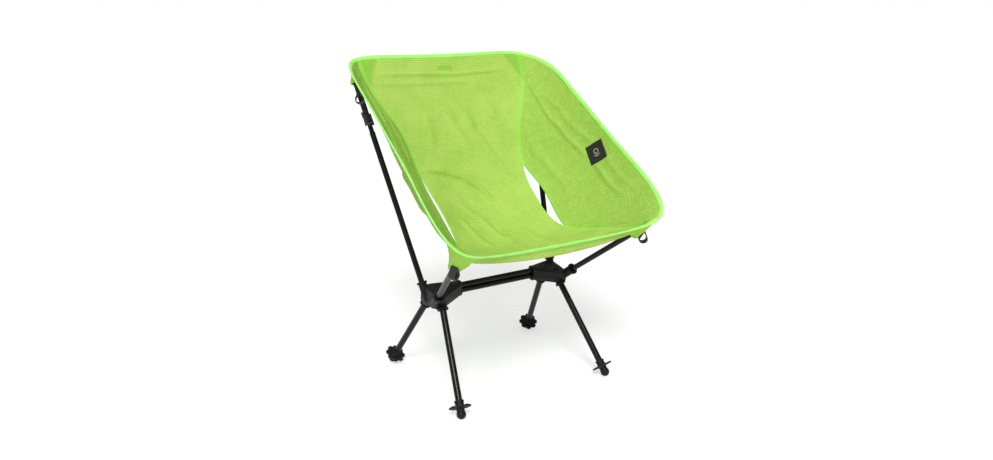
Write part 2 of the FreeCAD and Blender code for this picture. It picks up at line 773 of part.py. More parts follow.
def build_loops():
    """Webbing pull loops under the corners."""
    spots = {"front": (Vector(213, -211, 312), Vector(0, -0.2, 1).normalize(), Vector(0.45, 0.88, -0.1)),
             "rear": (Vector(220, 177, 577), Vector(-0.1, 0.35, 0.9).normalize(), Vector(0.42, -0.88, 0.2))}
    for corner in CORNERS:
        centre, up, across = spots[corner.label.split("_")[0]]
        ring = strap_ring(size("loop_radius"), size("loop_length"), size("webbing_width"),
                          size("webbing_thickness"))
        ring.Placement = loop_placement(corner.side, centre, up, across)
        plain_part(f"pull_loop_{corner.label}", ring)


def build_keepers():
    """Webbing keepers wound round the rear poles."""
    inner = dim("upper_pole_diameter") / 2 + dim("slide_clearance")
    outer = inner + dim("keeper_wall")
    for pole in REAR_POLES:
        side = pole.label.split("_")[-1]
        tube(f"rear_keeper_{side}", outer, inner, dim("keeper_length"), pole.frame(size("keeper_start")))


def surface_frame(surface, u_share, v_share, lift, inside):
    """Placement lying on a surface, +Z along the normal that points towards `inside`, lifted by a gap."""
    u_low, u_high, v_low, v_high = surface.bounds()
    u = u_low + (u_high - u_low) * u_share
    v = v_low + (v_high - v_low) * v_share
    normal = surface.normal(u, v)
    if normal.dot(inside) < 0:
        normal = normal * -1
    along = surface.tangent(u, v)[0]
    along = (along - normal * along.dot(normal)).normalize()
    return Placement(surface.value(u, v) + normal * lift, Rotation(along, normal.cross(along), normal, "ZXY"))


def label_box(name, length, width, placement):
    box = doc.addObject("Part::Box", name)
    box.setExpression("Length", length.text)
    box.setExpression("Width", width.text)
    box.setExpression("Height", dim("label_thickness").text)
    shift = Placement(Vector(-length.value / 2, -width.value / 2, 0), Rotation())
    box.Placement = placement.multiply(shift)
    return subpart(name, box)


def build_labels():
    """A sewn label on the right side panel and a plain hem label outside the top edge."""
    frame = surface_frame(side_surface(size("seam_gap")), 0.57, 0.76, size("label_lift"), Vector(-1, 0, 0.5))
    turn = Placement(Vector(), Rotation(Vector(0, 0, 1), size("label_turn")))
    label_box("side_label", dim("label_length"), dim("label_width"), frame.multiply(turn))
    lift = size("fabric_thickness") + size("label_lift")
    frame = surface_frame(centre_surface(), 0.04, 0.5, lift, Vector(0, 1, -0.4))
    label_box("top_label", dim("top_label_width"), dim("top_label_length"), frame)


# ---------------------------------------------------------------- build, check and write
build_crossbar()
build_legs()
build_front_poles()
build_rear_poles()
build_caps()
build_cords()
build_feet()
build_hubs()
build_sling()
build_pockets()
build_loops()
build_keepers()
build_labels()
doc.recompute()

for obj in doc.Objects:
    for state in ("Invalid", "Error"):
        if state in obj.State:
            raise RuntimeError(f"{obj.Label} is {state}")
for obj in SUBPARTS:
    if obj.Shape.isNull() or not obj.Shape.isValid() or not obj.Shape.Solids:
        raise RuntimeError(f"{obj.Label} has no valid solid")

os.makedirs("parts", exist_ok=True)
for obj in SUBPARTS:
    obj.Shape.exportStep(f"parts/{obj.Label}.step")
print(f"{len(SUBPARTS)} sub-parts written")
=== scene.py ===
"""Looks of the ultralight backpacking chair: a mesh sling on slanted poles, moulded hubs and splayed legs.

Metres. +Z is up, the sitter looks along -Y, and the origin is on the floor under the middle of the chair.
"""

import json
import math

import bmesh
import bpy
import numpy as np
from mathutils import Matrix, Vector
from mathutils.bvhtree import BVHTree


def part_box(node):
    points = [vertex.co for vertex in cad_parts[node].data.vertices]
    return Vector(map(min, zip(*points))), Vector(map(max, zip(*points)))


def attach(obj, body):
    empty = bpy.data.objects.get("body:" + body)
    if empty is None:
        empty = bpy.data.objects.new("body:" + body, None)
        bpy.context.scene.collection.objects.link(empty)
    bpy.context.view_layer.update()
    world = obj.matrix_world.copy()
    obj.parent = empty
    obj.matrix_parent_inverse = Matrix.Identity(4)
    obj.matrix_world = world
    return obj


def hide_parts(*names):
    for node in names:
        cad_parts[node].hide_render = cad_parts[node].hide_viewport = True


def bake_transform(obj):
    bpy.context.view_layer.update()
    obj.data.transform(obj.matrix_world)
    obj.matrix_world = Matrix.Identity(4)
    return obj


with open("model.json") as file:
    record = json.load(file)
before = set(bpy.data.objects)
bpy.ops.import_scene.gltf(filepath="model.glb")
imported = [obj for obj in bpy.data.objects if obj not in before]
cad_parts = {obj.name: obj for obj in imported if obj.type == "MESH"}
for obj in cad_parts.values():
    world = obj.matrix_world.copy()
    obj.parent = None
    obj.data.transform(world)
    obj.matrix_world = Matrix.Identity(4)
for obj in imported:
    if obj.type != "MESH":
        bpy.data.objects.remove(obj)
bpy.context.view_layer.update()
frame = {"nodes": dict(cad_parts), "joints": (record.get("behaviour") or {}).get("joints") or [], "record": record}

MM = 0.001

# ---------------------------------------------------------------- camera, stage and light
CAMERA_AZIMUTH = math.radians(-31.684)
CAMERA_ELEVATION = math.radians(15.850)
CAMERA_DISTANCE = 1.657
CAMERA_TARGET = Vector((-0.0029, 0.0, 0.3142))
CAMERA_LENS = 28.886
AMBIENT = 0.33


def around(azimuth, elevation, distance):
    """Point seen from the camera target at an azimuth, an elevation and a distance."""
    level = math.cos(elevation)
    step = Vector((math.sin(azimuth) * level, -math.cos(azimuth) * level, math.sin(elevation)))
    return CAMERA_TARGET + step * distance


def aim(obj, place, target):
    obj.location = place
    obj.rotation_euler = (target - place).to_track_quat("-Z", "Y").to_euler()


def build_camera():
    data = bpy.data.cameras.new("camera")
    data.lens = CAMERA_LENS
    data.sensor_width = 36.0
    camera = bpy.data.objects.new("camera", data)
    bpy.context.collection.objects.link(camera)
    aim(camera, around(CAMERA_AZIMUTH, CAMERA_ELEVATION, CAMERA_DISTANCE), CAMERA_TARGET)
    bpy.context.scene.camera = camera


def build_light(name, azimuth, elevation, softness, power):
    """Wide soft lamp that lights the floor evenly."""
    data = bpy.data.lights.new(name, "SUN")
    data.angle = math.radians(softness)
    data.energy = power
    lamp = bpy.data.objects.new(name, data)
    bpy.context.collection.objects.link(lamp)
    aim(lamp, around(math.radians(azimuth), math.radians(elevation), 3.0), CAMERA_TARGET)


def build_stage():
    """Pale floor, white surroundings and two soft lamps."""
    bpy.ops.mesh.primitive_plane_add(size=120.0, location=(0, 0, 0))
    floor = bpy.context.object
    floor.name = "floor"
    floor.data.materials.append(floor_material())
    world = bpy.data.worlds.new("studio")
    bpy.context.scene.world = world
    world.use_nodes = True
    tree = world.node_tree
    background = tree.nodes["Background"]
    background.inputs["Color"].default_value = (1.0, 1.0, 1.0, 1.0)
    seen = tree.nodes.new("ShaderNodeLightPath")
    strength = tree.nodes.new("ShaderNodeMapRange")
    strength.inputs["To Min"].default_value = AMBIENT
    strength.inputs["To Max"].default_value = 1.0
    tree.links.new(seen.outputs["Is Camera Ray"], strength.inputs["Value"])
    tree.links.new(strength.outputs[0], background.inputs["Strength"])
    build_light("key", -31, 48, 20, 2.8)
    build_light("top", -120, 70, 60, 0.35)
    bpy.context.scene.view_settings.view_transform = "Standard"


# ---------------------------------------------------------------- materials
class Nodes:
    """Short way to write a material's nodes."""

    def __init__(self, name):
        self.material = bpy.data.materials.new(name)
        self.material.use_nodes = True
        self.tree = self.material.node_tree
        self.shader = self.tree.nodes["Principled BSDF"]
        self.output = self.tree.nodes["Material Output"]

    def add(self, kind, inputs=None, **settings):
        node = self.tree.nodes.new(kind)
        for key, value in settings.items():
            setattr(node, key, value)
        for key, value in (inputs or {}).items():
            self.put(node.inputs[key], value)
        return node

    def put(self, socket, value):
        if isinstance(value, bpy.types.NodeSocket):
            self.tree.links.new(value, socket)
        else:
            socket.default_value = value

    def math(self, operation, a, b=0.0):
        return self.add("ShaderNodeMath", {0: a, 1: b}, operation=operation).outputs[0]

    def times(self, a, b):
        return self.math("MULTIPLY", a, b)

    def plus(self, a, b):
        return self.math("ADD", a, b)

    def minus(self, a, b):
        return self.math("SUBTRACT", a, b)

    def off(self, value, place=0.0):
        """How far a value is from a place."""
        return self.math("ABSOLUTE", self.minus(value, place))

    def wave(self, value, pitch, kind="SINE"):
        return self.math(kind, self.times(value, 2.0 * math.pi / pitch))

    def scaled(self, value, low, high, new_low=0.0, new_high=1.0):
        inputs = {"Value": value, "From Min": low, "From Max": high, "To Min": new_low, "To Max": new_high}
        return self.add("ShaderNodeMapRange", inputs, interpolation_type="SMOOTHSTEP").outputs[0]

    def mix(self, factor, a, b):
        node = self.add("ShaderNodeMix", data_type="RGBA")
        for name, value in (("Factor", factor), ("A", a), ("B", b)):
            self.put(node.inputs[name], value)
        return node.outputs["Result"]

    def place(self):
        return self.add("ShaderNodeTexCoord").outputs["Object"]

    def noise(self, scale, detail=3.0):
        inputs = {"Scale": scale, "Detail": detail, "Roughness": 0.55, "Vector": self.place()}
        return self.add("ShaderNodeTexNoise", inputs).outputs["Fac"]

    def flat(self):
        """The two flat coordinates that a mesh carries."""
        coordinates = self.add("ShaderNodeTexCoord").outputs["UV"]
        separate = self.add("ShaderNodeSeparateXYZ", {"Vector": coordinates})
        return separate.outputs["X"], separate.outputs["Y"]

    def attribute(self, name):
        return self.add("ShaderNodeAttribute", attribute_name=name).outputs["Fac"]

    def bump(self, height, distance, strength):
        inputs = {"Height": height, "Distance": distance, "Strength": strength}
        return self.add("ShaderNodeBump", inputs).outputs["Normal"]

    def set(self, **values):
        for key, value in values.items():
            self.put(self.shader.inputs[key.replace("_", " ")], value)


def colour(red, shade_share, blue):
    """Linear colour from 0 to 255 display values."""
    def linear(value):
        share = value / 255.0
        return share / 12.92 if share <= 0.04045 else ((share + 0.055) / 1.055) ** 2.4
    return (linear(red), linear(shade_share), linear(blue), 1.0)


def scaled_colour(values, factor):
    return tuple(min(1.0, channel * factor) for channel in values[:3]) + (1.0,)


def floor_material():
    nodes = Nodes("floor")
    pale = nodes.mix(nodes.noise(3.0, 4.0), colour(172, 172, 171), colour(176, 176, 176))
    nodes.set(Base_Color=pale, Roughness=0.9, Emission_Color=colour(255, 255, 255), Emission_Strength=0.62)
    return nodes.material


MESH_PITCH = 4.2 * MM
THREAD_PITCH = 1.0 * MM
LABEL_PITCH = 0.7 * MM
STITCH_PITCH = 3.6 * MM
# Place of the stitches across a tape, from 0 in its middle to 1 at its edges.
STITCH_ROW = 0.42


def dots(nodes, across, along, pitch):
    """Staggered lattice from 0 between the dots to 1 in their middle."""
    waves = [nodes.wave(value, pitch, "COSINE") for value in (across, along)]
    return nodes.scaled(nodes.plus(*waves), -0.2, 1.4)


def mesh_fabric(name, base, lit):
    """Open dot mesh: staggered lighter dots, a fine thread grain, drifting tone, paler sewn bands, and painted
    shade that darkens the side panels.
    """
    nodes = Nodes(name)
    across, along = nodes.flat()
    lattice = dots(nodes, across, along, MESH_PITCH)
    thread = dots(nodes, across, along, THREAD_PITCH)
    patchy = nodes.scaled(nodes.noise(95.0), 0.35, 0.7, 0.25)
    tone = nodes.mix(nodes.scaled(nodes.noise(22.0, 4.0), 0.3, 0.7), base, lit)
    # Painted shade: the side panels are darkened towards the shade green, the left panel fully and the right panel
    # partly, as they face away from the light.
    tone = nodes.mix(nodes.attribute("side"), tone, SIDE_PANEL_SHADE_GREEN)
    tone = nodes.mix(nodes.times(nodes.times(lattice, patchy), 0.8), tone, scaled_colour(lit, 1.22))
    tone = nodes.mix(nodes.times(nodes.minus(1.0, lattice), 0.6), tone, scaled_colour(base, 0.78))
    tone = nodes.mix(nodes.times(nodes.attribute("patch"), 0.75), tone, PATCH_GREEN)
    grain = nodes.plus(0.75, nodes.times(lattice, 0.35))
    tone = nodes.mix(nodes.times(nodes.attribute("band"), nodes.times(grain, 0.55)), tone, BAND_GREEN)
    height = nodes.plus(nodes.times(lattice, 0.7), nodes.times(thread, 0.35))
    nodes.set(Base_Color=tone, Roughness=0.78, Specular_IOR_Level=0.2,
              Normal=nodes.bump(height, 0.35 * MM, 0.6))
    glow = nodes.add("ShaderNodeBsdfTranslucent", {"Color": tone})
    blend = nodes.add("ShaderNodeMixShader", {0: 0.06, 1: nodes.shader.outputs[0], 2: glow.outputs[0]})
    nodes.tree.links.new(blend.outputs[0], nodes.output.inputs["Surface"])
    return nodes.material


def tape_fabric(name, base, shadow, rib_pitch, stitch_colour):
    """Woven tape: cross ribs, a row of stitches on each side of its middle and worn tone."""
    nodes = Nodes(name)
    along, across = nodes.flat()
    ribs = nodes.scaled(nodes.wave(along, rib_pitch), -1.0, 1.0)
    dash = nodes.scaled(nodes.wave(along, STITCH_PITCH), -0.5, 0.0)
    stitch = nodes.times(nodes.scaled(nodes.off(nodes.off(across), STITCH_ROW), 0.03, 0.07, 1.0, 0.0), dash)
    wear = nodes.scaled(nodes.noise(60.0, 4.0), 0.35, 0.7)
    tone = nodes.mix(nodes.times(ribs, 0.35), base, shadow)
    tone = nodes.mix(nodes.times(wear, 0.4), tone, shadow)
    tone = nodes.mix(nodes.times(stitch, 0.7), tone, stitch_colour)
    height = nodes.plus(nodes.times(ribs, 0.5), stitch)
    nodes.set(Base_Color=tone, Roughness=0.7, Normal=nodes.bump(height, 0.25 * MM, 0.7), Sheen_Weight=0.2)
    return nodes.material


def anodised():
    """Satin black anodised tube with fine grain and rubbed patches."""
    nodes = Nodes("anodised_tube")
    fine = nodes.noise(900.0, 2.0)
    rubbed = nodes.scaled(nodes.noise(38.0, 5.0), 0.55, 0.75)
    tone = nodes.mix(nodes.times(rubbed, 0.5), colour(9, 9, 11), colour(30, 31, 34))
    nodes.set(Base_Color=tone, Roughness=nodes.scaled(fine, 0.3, 0.7, 0.24, 0.36),
              Specular_IOR_Level=0.24, Normal=nodes.bump(fine, 0.02 * MM, 0.4))
    return nodes.material


def moulded(name, dark, pale, grain, roughness):
    """Moulded plastic or rubber: fine grain, and edges and high spots rubbed paler."""
    nodes = Nodes(name)
    coarse = nodes.noise(140.0)
    pointiness = nodes.add("ShaderNodeNewGeometry").outputs["Pointiness"]
    tone = nodes.mix(nodes.times(nodes.scaled(coarse, 0.4, 0.7), 0.35), dark, pale)
    tone = nodes.mix(nodes.times(nodes.scaled(pointiness, 0.52, 0.62), 0.55), tone, pale)
    rough = nodes.scaled(coarse, 0.3, 0.7, roughness - 0.06, roughness + 0.06)
    nodes.set(Base_Color=tone, Roughness=rough, Specular_IOR_Level=0.25,
              Normal=nodes.bump(nodes.noise(grain), 0.06 * MM, 0.6))
    return nodes.material


def braid():
    """Braided elastic cord with slanted strands."""
    nodes = Nodes("shock_cord")
    separate = nodes.add("ShaderNodeSeparateXYZ", {"Vector": nodes.place()})
    strands = nodes.wave(nodes.plus(separate.outputs["X"], separate.outputs["Z"]), 1.1 * MM)
    tone = nodes.mix(nodes.scaled(strands, -1.0, 1.0), colour(24, 24, 25), colour(60, 60, 62))
    nodes.set(Base_Color=tone, Roughness=0.8, Normal=nodes.bump(strands, 0.15 * MM, 0.6))
    return nodes.material


# Marks on the label: the ring's centre and radius, then the two bars as (place along, half length).
RING_PLACE = 3.0 * MM
RING_RADIUS = 5.2 * MM
BARS = ((-5.5 * MM, 7.5 * MM), (-8.5 * MM, 4.5 * MM))


def label_weave(name, mark_strength):
    """Black woven label with a ring and two bars, always in relief and as pale as `mark_strength`."""
    nodes = Nodes(name)
    across, along = nodes.flat()
    weave = dots(nodes, across, along, LABEL_PITCH)
    squares = [nodes.math("POWER", value, 2.0) for value in (across, nodes.minus(along, RING_PLACE))]
    span = nodes.math("SQRT", nodes.plus(*squares))
    marks = nodes.scaled(nodes.off(span, RING_RADIUS), 0.5 * MM, 0.9 * MM, 1.0, 0.0)
    for place, half in BARS:
        row = nodes.scaled(nodes.off(along, place), 0.35 * MM, 0.6 * MM, 1.0, 0.0)
        reach = nodes.scaled(nodes.off(across), half, half + 0.3 * MM, 1.0, 0.0)
        marks = nodes.math("MAXIMUM", marks, nodes.times(row, reach))
    tone = nodes.mix(nodes.times(weave, 0.4), colour(14, 16, 15), colour(34, 37, 35))
    tone = nodes.mix(nodes.times(marks, mark_strength), tone, colour(196, 190, 172))
    height = nodes.plus(nodes.times(weave, 0.5), marks)
    nodes.set(Base_Color=tone, Roughness=0.72, Normal=nodes.bump(height, 0.15 * MM, 0.6))
    return nodes.material


CENTRE_GREEN = colour(164, 203, 84)
CENTRE_LIT = colour(184, 216, 102)
BAND_GREEN = colour(146, 224, 78)
# Painted shade of the side panels, and how much of it the right panel gets; the left panel gets all of it.
SIDE_PANEL_SHADE_GREEN = colour(124, 177, 58)
RIGHT_PANEL_SHADE_SHARE = 0.6
PATCH_GREEN = colour(130, 188, 60)
RIM_GREEN = colour(170, 248, 116)

MATERIALS = {
    "mesh_fabric": mesh_fabric("mesh_fabric", CENTRE_GREEN, CENTRE_LIT),
    "pocket_fabric": mesh_fabric("pocket_fabric", colour(160, 214, 74), colour(176, 226, 92)),
    "edge_binding": tape_fabric("edge_binding", RIM_GREEN, colour(122, 220, 66), 1.6 * MM,
                                colour(176, 250, 120)),
    "webbing": tape_fabric("webbing", colour(12, 12, 14), colour(30, 30, 33), 1.3 * MM, colour(52, 52, 56)),
    "frame_tube": anodised(),
    "hub_plastic": moulded("hub_plastic", colour(7, 8, 10), colour(32, 34, 37), 1600.0, 0.5),
    "foot_rubber": moulded("foot_rubber", colour(12, 12, 14), colour(38, 38, 41), 1100.0, 0.6),
    "cap_plastic": moulded("cap_plastic", colour(24, 24, 26), colour(56, 56, 60), 1400.0, 0.48),
    "shock_cord": braid(),
    "label_fabric": label_weave("label_weave", 0.85),
    "plain_label": label_weave("plain_label_weave", 0.0),
}


def dress_frame():
    """Gives each CAD node that stays visible its procedural material."""
    slots = {entry["node"]: entry["material_slot"] for entry in frame["record"]["subparts"]}
    for node, obj in frame["nodes"].items():
        material = MATERIALS.get(slots[node])
        if material is not None:
            obj.data.materials.clear()
            obj.data.materials.append(material)


# ---------------------------------------------------------------- curves
def bspline(poles, shares):
    """Points of a clamped uniform cubic spline at shares from 0 to 1."""
    poles = np.array(poles, float)
    count = len(poles)
    knots = np.concatenate([np.zeros(3), np.linspace(0.0, 1.0, count - 2), np.ones(3)])
    points = []
    for share in np.atleast_1d(shares):
        span = min(max(int(np.searchsorted(knots, share, side="right")) - 1, 3), count - 1)
        local = [poles[span - 3 + index].copy() for index in range(4)]
        for level in range(1, 4):
            for index in range(3, level - 1, -1):
                low = knots[span - 3 + index]
                high = knots[span + 1 + index - level]
                blend = (share - low) / (high - low)
                local[index] = (1 - blend) * local[index - 1] + blend * local[index]
        points.append(local[3])
    return np.array(points)


def interpolated(params, points, at):
    """Natural cubic spline through the points, read at an array of parameters."""
    params, points = np.array(params, float), np.array(points, float)
    count = len(params)
    steps = np.diff(params)
    system = np.zeros((count, count))
    right = np.zeros((count, points.shape[1]))
    system[0, 0] = system[-1, -1] = 1.0
    for row in range(1, count - 1):
        system[row, row - 1:row + 2] = steps[row - 1], 2 * (steps[row - 1] + steps[row]), steps[row]
        right[row] = 6 * ((points[row + 1] - points[row]) / steps[row]
                          - (points[row] - points[row - 1]) / steps[row - 1])
    bends = np.linalg.solve(system, right)
    spans = np.clip(np.searchsorted(params, at, side="right") - 1, 0, count - 2)
    width = steps[spans][:, None]
    after = (at - params[spans])[:, None]
    before = (params[spans + 1] - at)[:, None]
    return ((bends[spans] * before ** 3 + bends[spans + 1] * after ** 3) / (6 * width)
            + (points[spans] / width - bends[spans] * width / 6) * before
            + (points[spans + 1] / width - bends[spans + 1] * width / 6) * after)


def smooth(value):
    value = np.clip(value, 0.0, 1.0)
    return value * value * (3 - 2 * value)


# ---------------------------------------------------------------- sling shape
# Control points of half of the rim, from the middle of the top edge round the right side to the middle of
# the front edge, in millimetres as the stations below.
RIM_POLES = ((0, 232, 658), (76, 232, 658), (148, 233, 662), (216, 241, 657), (246, 161, 637), (243, 83, 588),
             (245, -1, 535), (244, -89, 480), (253, -178, 425), (241, -257, 364), (165, -227, 342),
             (84, -210, 334), (0, -210, 334))
# Stations from the top edge to the front edge: the middle of the sling as (y, z), and its right-hand seam.
MIDDLE = ((232, 656), (205, 596), (158, 508), (108, 411), (50, 336), (-42, 300), (-130, 303), (-190, 314),
          (-210, 332))
SEAM = ((201, 231, 654), (190, 195, 597), (146, 145, 510), (127, 98, 424), (124.5, 23, 368),
        (129, -57, 318), (163, -140, 326), (190, -204, 340), (205, -236, 354))
SIDE_SHARES = (0.225, 0.33, 0.42, 0.50, 0.56, 0.63, 0.71, 0.765, 0.81)
SIDE_BULGE = (1, 5, 9, 13, 15, 14, 8, -3, -5)
OUTWARD = np.array((0.79, 0.34, -0.51))
# The slit runs between these stations, and its two edges part by these steps half way.
SLIT_STATIONS = (3, 5)
SLIT_CENTRE = np.array((-7.5, 4.0, -6.0)) * MM
SLIT_SIDE = np.array((7.5, -4.0, 6.0)) * MM

ROWS = 231
CENTRE_COLUMNS = 64
SIDE_COLUMNS = 44
BAND_WIDTH = 6.0 * MM
BAND_EDGE = 1.2 * MM
# Length of the sling, and the usual widths of its side panels, its centre panel and its seat.
SLING_LENGTH = 0.83
SIDE_WIDTH = 0.17
CENTRE_WIDTH = 0.30
SEAT_WIDTH = 0.28
CLOTH_THICKNESS = 0.9 * MM

seam_steps = np.linalg.norm(np.diff(np.array(SEAM, float), axis=0), axis=1)
STATION_SHARES = np.concatenate([[0.0], np.cumsum(seam_steps)]) / seam_steps.sum()
SHARES = np.linspace(0.0, 1.0, ROWS)
RIM_FINE = bspline(RIM_POLES, np.linspace(0.0, 1.0, 1200)) * MM
RIM_LOOP = np.concatenate([RIM_FINE, (RIM_FINE * (-1, 1, 1))[::-1][1:-1]])


def along_stations(points):
    return interpolated(STATION_SHARES, np.array(points, float), SHARES) * MM


def bezier(first, middle, last, shares):
    """Rows of parabolas between the first and last columns of points."""
    t = np.array(shares)[None, :, None]
    return first[:, None] * (1 - t) ** 2 + middle[:, None] * 2 * t * (1 - t) + last[:, None] * t ** 2


def slit_opening():
    low, high = (STATION_SHARES[index] for index in SLIT_STATIONS)
    inside = np.clip((SHARES - low) / (high - low), 0.0, 1.0)
    return np.sin(math.pi * inside) ** 0.9


def edge_shares(count, length, both):
    """Shares across a panel, with extra columns that hold the step of the sewn band at its edges."""
    steps = [0.0, BAND_WIDTH - BAND_EDGE, BAND_WIDTH]
    low = [step / length for step in steps]
    if both:
        inner = np.linspace(low[-1], 1 - low[-1], count)[1:-1]
        return np.concatenate([low, inner, [1 - share for share in reversed(low)]])
    return np.concatenate([low, np.linspace(low[-1], 1.0, count)[1:]])


def sling_grids():
    """Point grids of the centre panel and the right side panel, which share the seam outside the slit."""
    seam = along_stations(SEAM)
    opening = slit_opening()[:, None]
    centre_edge = seam + SLIT_CENTRE * opening
    side_edge = seam + SLIT_SIDE * opening
    line = along_stations([(0, y, z) for y, z in MIDDLE])
    low = 2 * line - centre_edge * (0, 1, 1)
    low[:, 0] = 0.0
    centre_shares = edge_shares(CENTRE_COLUMNS, CENTRE_WIDTH, True)
    centre = bezier(centre_edge * (-1, 1, 1), low, centre_edge, centre_shares)
    rims = bspline(RIM_POLES, SIDE_SHARES)
    middles = [(np.array(edge) + rim) / 2 + OUTWARD * bulge * 2
               for edge, rim, bulge in zip(SEAM, rims, SIDE_BULGE)]
    side_shares = edge_shares(SIDE_COLUMNS, SIDE_WIDTH, False)
    side_middle = along_stations(middles) + SLIT_SIDE * opening / 2
    side = bezier(side_edge, side_middle, along_stations(rims), side_shares)
    return centre, side, centre_shares, side_shares


def to_rim(points):
    """Nearest point of the rim for each point."""
    found = np.empty_like(points)
    for index, point in enumerate(points):
        found[index] = RIM_LOOP[np.argmin(((RIM_LOOP - point) ** 2).sum(axis=1))]
    return found


RIM_REACH = (1.0, 0.72, 0.45, 0.22, 0.08)


def pull_to_rim(centre, side):
    """Moves the open edges onto the rim, fading over a few rows."""
    for rows in (centre, centre[::-1], side, side[::-1], side.swapaxes(0, 1)[::-1]):
        move = to_rim(rows[0]) - rows[0]
        for step, share in enumerate(RIM_REACH):
            rows[step] += move * share


def grid_normals(grid):
    normals = np.cross(np.gradient(grid, axis=0), np.gradient(grid, axis=1))
    lengths = np.linalg.norm(normals, axis=2, keepdims=True)
    return normals / np.maximum(lengths, 1e-12)


# Folds in the cloth: the points that each passes as (share along the sling, share across the panel), its half
# width and its height in millimetres. A negative height is a valley.
CENTRE_FOLDS = (
    (((0.052, 0.01), (0.066, 0.54), (0.056, 0.93)), 4.5, 3.8),
    (((0.085, 0.0), (0.094, 0.35), (0.096, 0.7)), 6, 2.4),
    (((0.18, 0.54), (0.28, 0.60), (0.38, 0.76), (0.47, 0.87)), 9, 5.1),
    (((0.16, 0.42), (0.27, 0.46), (0.36, 0.56)), 10, 3.5),
    (((0.15, 0.70), (0.26, 0.82)), 9, 3.2),
    (((0.20, 0.28), (0.34, 0.20)), 11, 2.4),
    (((0.393, 0.01), (0.40, 0.21), (0.42, 0.39), (0.465, 0.55), (0.53, 0.67)), 6.5, 7.0),
    (((0.43, 0.12), (0.46, 0.30), (0.52, 0.44)), 9, -2.9),
    (((0.50, 0.24), (0.578, 0.44), (0.70, 0.50)), 8, 4.2),
    (((0.56, 0.20), (0.74, 0.31)), 8, 3.8),
    (((0.635, 0.73), (0.826, 0.70)), 9, 2.9),
    (((0.643, 0.55), (0.82, 0.47)), 10, 2.6),
    (((0.86, 0.10), (0.88, 0.45), (0.87, 0.9)), 9, -2.2),
    (((0.966, -0.4), (0.966, 0.5), (0.966, 1.4)), 14, -11.0),
)
RIGHT_FOLDS = (
    (((0.06, 0.0), (0.226, 0.38), (0.365, 0.58), (0.50, 0.62), (0.64, 0.67), (0.84, 0.62)), 4, 4.2),
    (((0.135, 0.36), (0.287, 0.67), (0.574, 0.82), (0.835, 0.78)), 5, 2.1),
    (((0.29, 0.12), (0.45, 0.22), (0.64, 0.24)), 8, 3.2),
    (((0.72, 0.04), (0.82, 0.08), (0.92, 0.24)), 5, 3.2),
)
LEFT_FOLDS = (
    (((0.05, 0.10), (0.27, 0.42), (0.42, 0.32), (0.58, 0.14)), 7, 4.5),
    (((0.12, 0.05), (0.27, 0.16), (0.40, 0.08)), 5, 3.5),
    (((0.30, 0.72), (0.42, 0.80), (0.55, 0.74)), 8, 4.2),
    (((0.52, 0.66), (0.64, 0.78), (0.76, 0.70)), 8, -4.2),
    (((0.66, 0.60), (0.76, 0.66), (0.86, 0.62)), 7, 3.8),
)


def fold_heights(shares_along, shares_across, folds, length, width):
    """Height of the folds over a grid, each a soft ridge along its line that fades at both ends."""
    grid_along, grid_across = np.meshgrid(shares_along * length, shares_across * width, indexing="ij")
    heights = np.zeros_like(grid_along)
    for path, half_width, height in folds:
        points = np.array(path) * (length, width)
        steps = np.linalg.norm(np.diff(points, axis=0), axis=1)
        nearest = np.full_like(heights, 1e3)
        travelled = np.zeros_like(heights)
        for index, (a, b) in enumerate(zip(points, points[1:])):
            run = b - a
            share = ((grid_along - a[0]) * run[0] + (grid_across - a[1]) * run[1]) / (run @ run)
            share = np.clip(share, 0.0, 1.0)
            off = np.hypot(grid_along - a[0] - share * run[0], grid_across - a[1] - share * run[1])
            closer = off < nearest
            nearest = np.where(closer, off, nearest)
            travelled = np.where(closer, steps[:index].sum() + share * steps[index], travelled)
        done = travelled / steps.sum()
        fade = smooth(done / 0.2) * smooth((1 - done) / 0.2)
        heights += height * MM * np.exp(-(nearest / (half_width * MM)) ** 2) * fade
    return heights


def crumple(points, scale, seed):
    """Smooth pseudo-random unevenness from a few fixed waves."""
    rng = np.random.default_rng(seed)
    total = np.zeros(points.shape[:-1])
    for _ in range(14):
        direction = rng.normal(size=3)
        direction /= np.linalg.norm(direction)
        wave = 2 * math.pi / (scale * rng.uniform(0.5, 1.6))
        total += np.sin(points @ direction * wave + rng.uniform(0, 2 * math.pi)) * rng.uniform(0.3, 1.0)
    return total / 5.0


# Reinforcing patch in each rear corner of the centre panel, beyond the line through these two points.
PATCH_RIM = np.array((155, 233, 660)) * MM
PATCH_SEAM = np.array((190, 195, 597)) * MM
PATCH_RAISE = 0.8 * MM


def patch_share(points):
    """0 on the plain cloth and 1 on a rear corner patch."""
    run = (PATCH_RIM - PATCH_SEAM) / np.linalg.norm(PATCH_RIM - PATCH_SEAM)
    toward = np.array((1.0, 0.0, 0.0))
    toward = toward - run * (toward @ run)
    toward /= np.linalg.norm(toward)
    mirrored = points * np.where(points[..., :1] < 0, -1.0, 1.0) ** np.array((1, 0, 0))
    beyond = (mirrored - PATCH_SEAM) @ toward
    return smooth((beyond + 1.5 * MM) / (3.0 * MM)) * (points[..., 2] > PATCH_SEAM[2] - 20 * MM)


# The label keeps the right panel flat round its middle, at these shares along and across the panel.
LABEL_PLACE = (0.57, 0.76)
LABEL_CALM = 24 * MM


def calm_round_label(shares):
    """0 under the label and 1 away from it."""
    along = (SHARES - LABEL_PLACE[0])[:, None] * SLING_LENGTH
    across = (shares - LABEL_PLACE[1])[None, :] * SIDE_WIDTH
    return smooth((np.hypot(along, across) - LABEL_CALM) / LABEL_CALM)


# Distance of the hem label from the top edge, and half its height and half its length.
HEM_LABEL_PLACE = 33 * MM
HEM_LABEL_HALF = (8.5 * MM, 20 * MM)


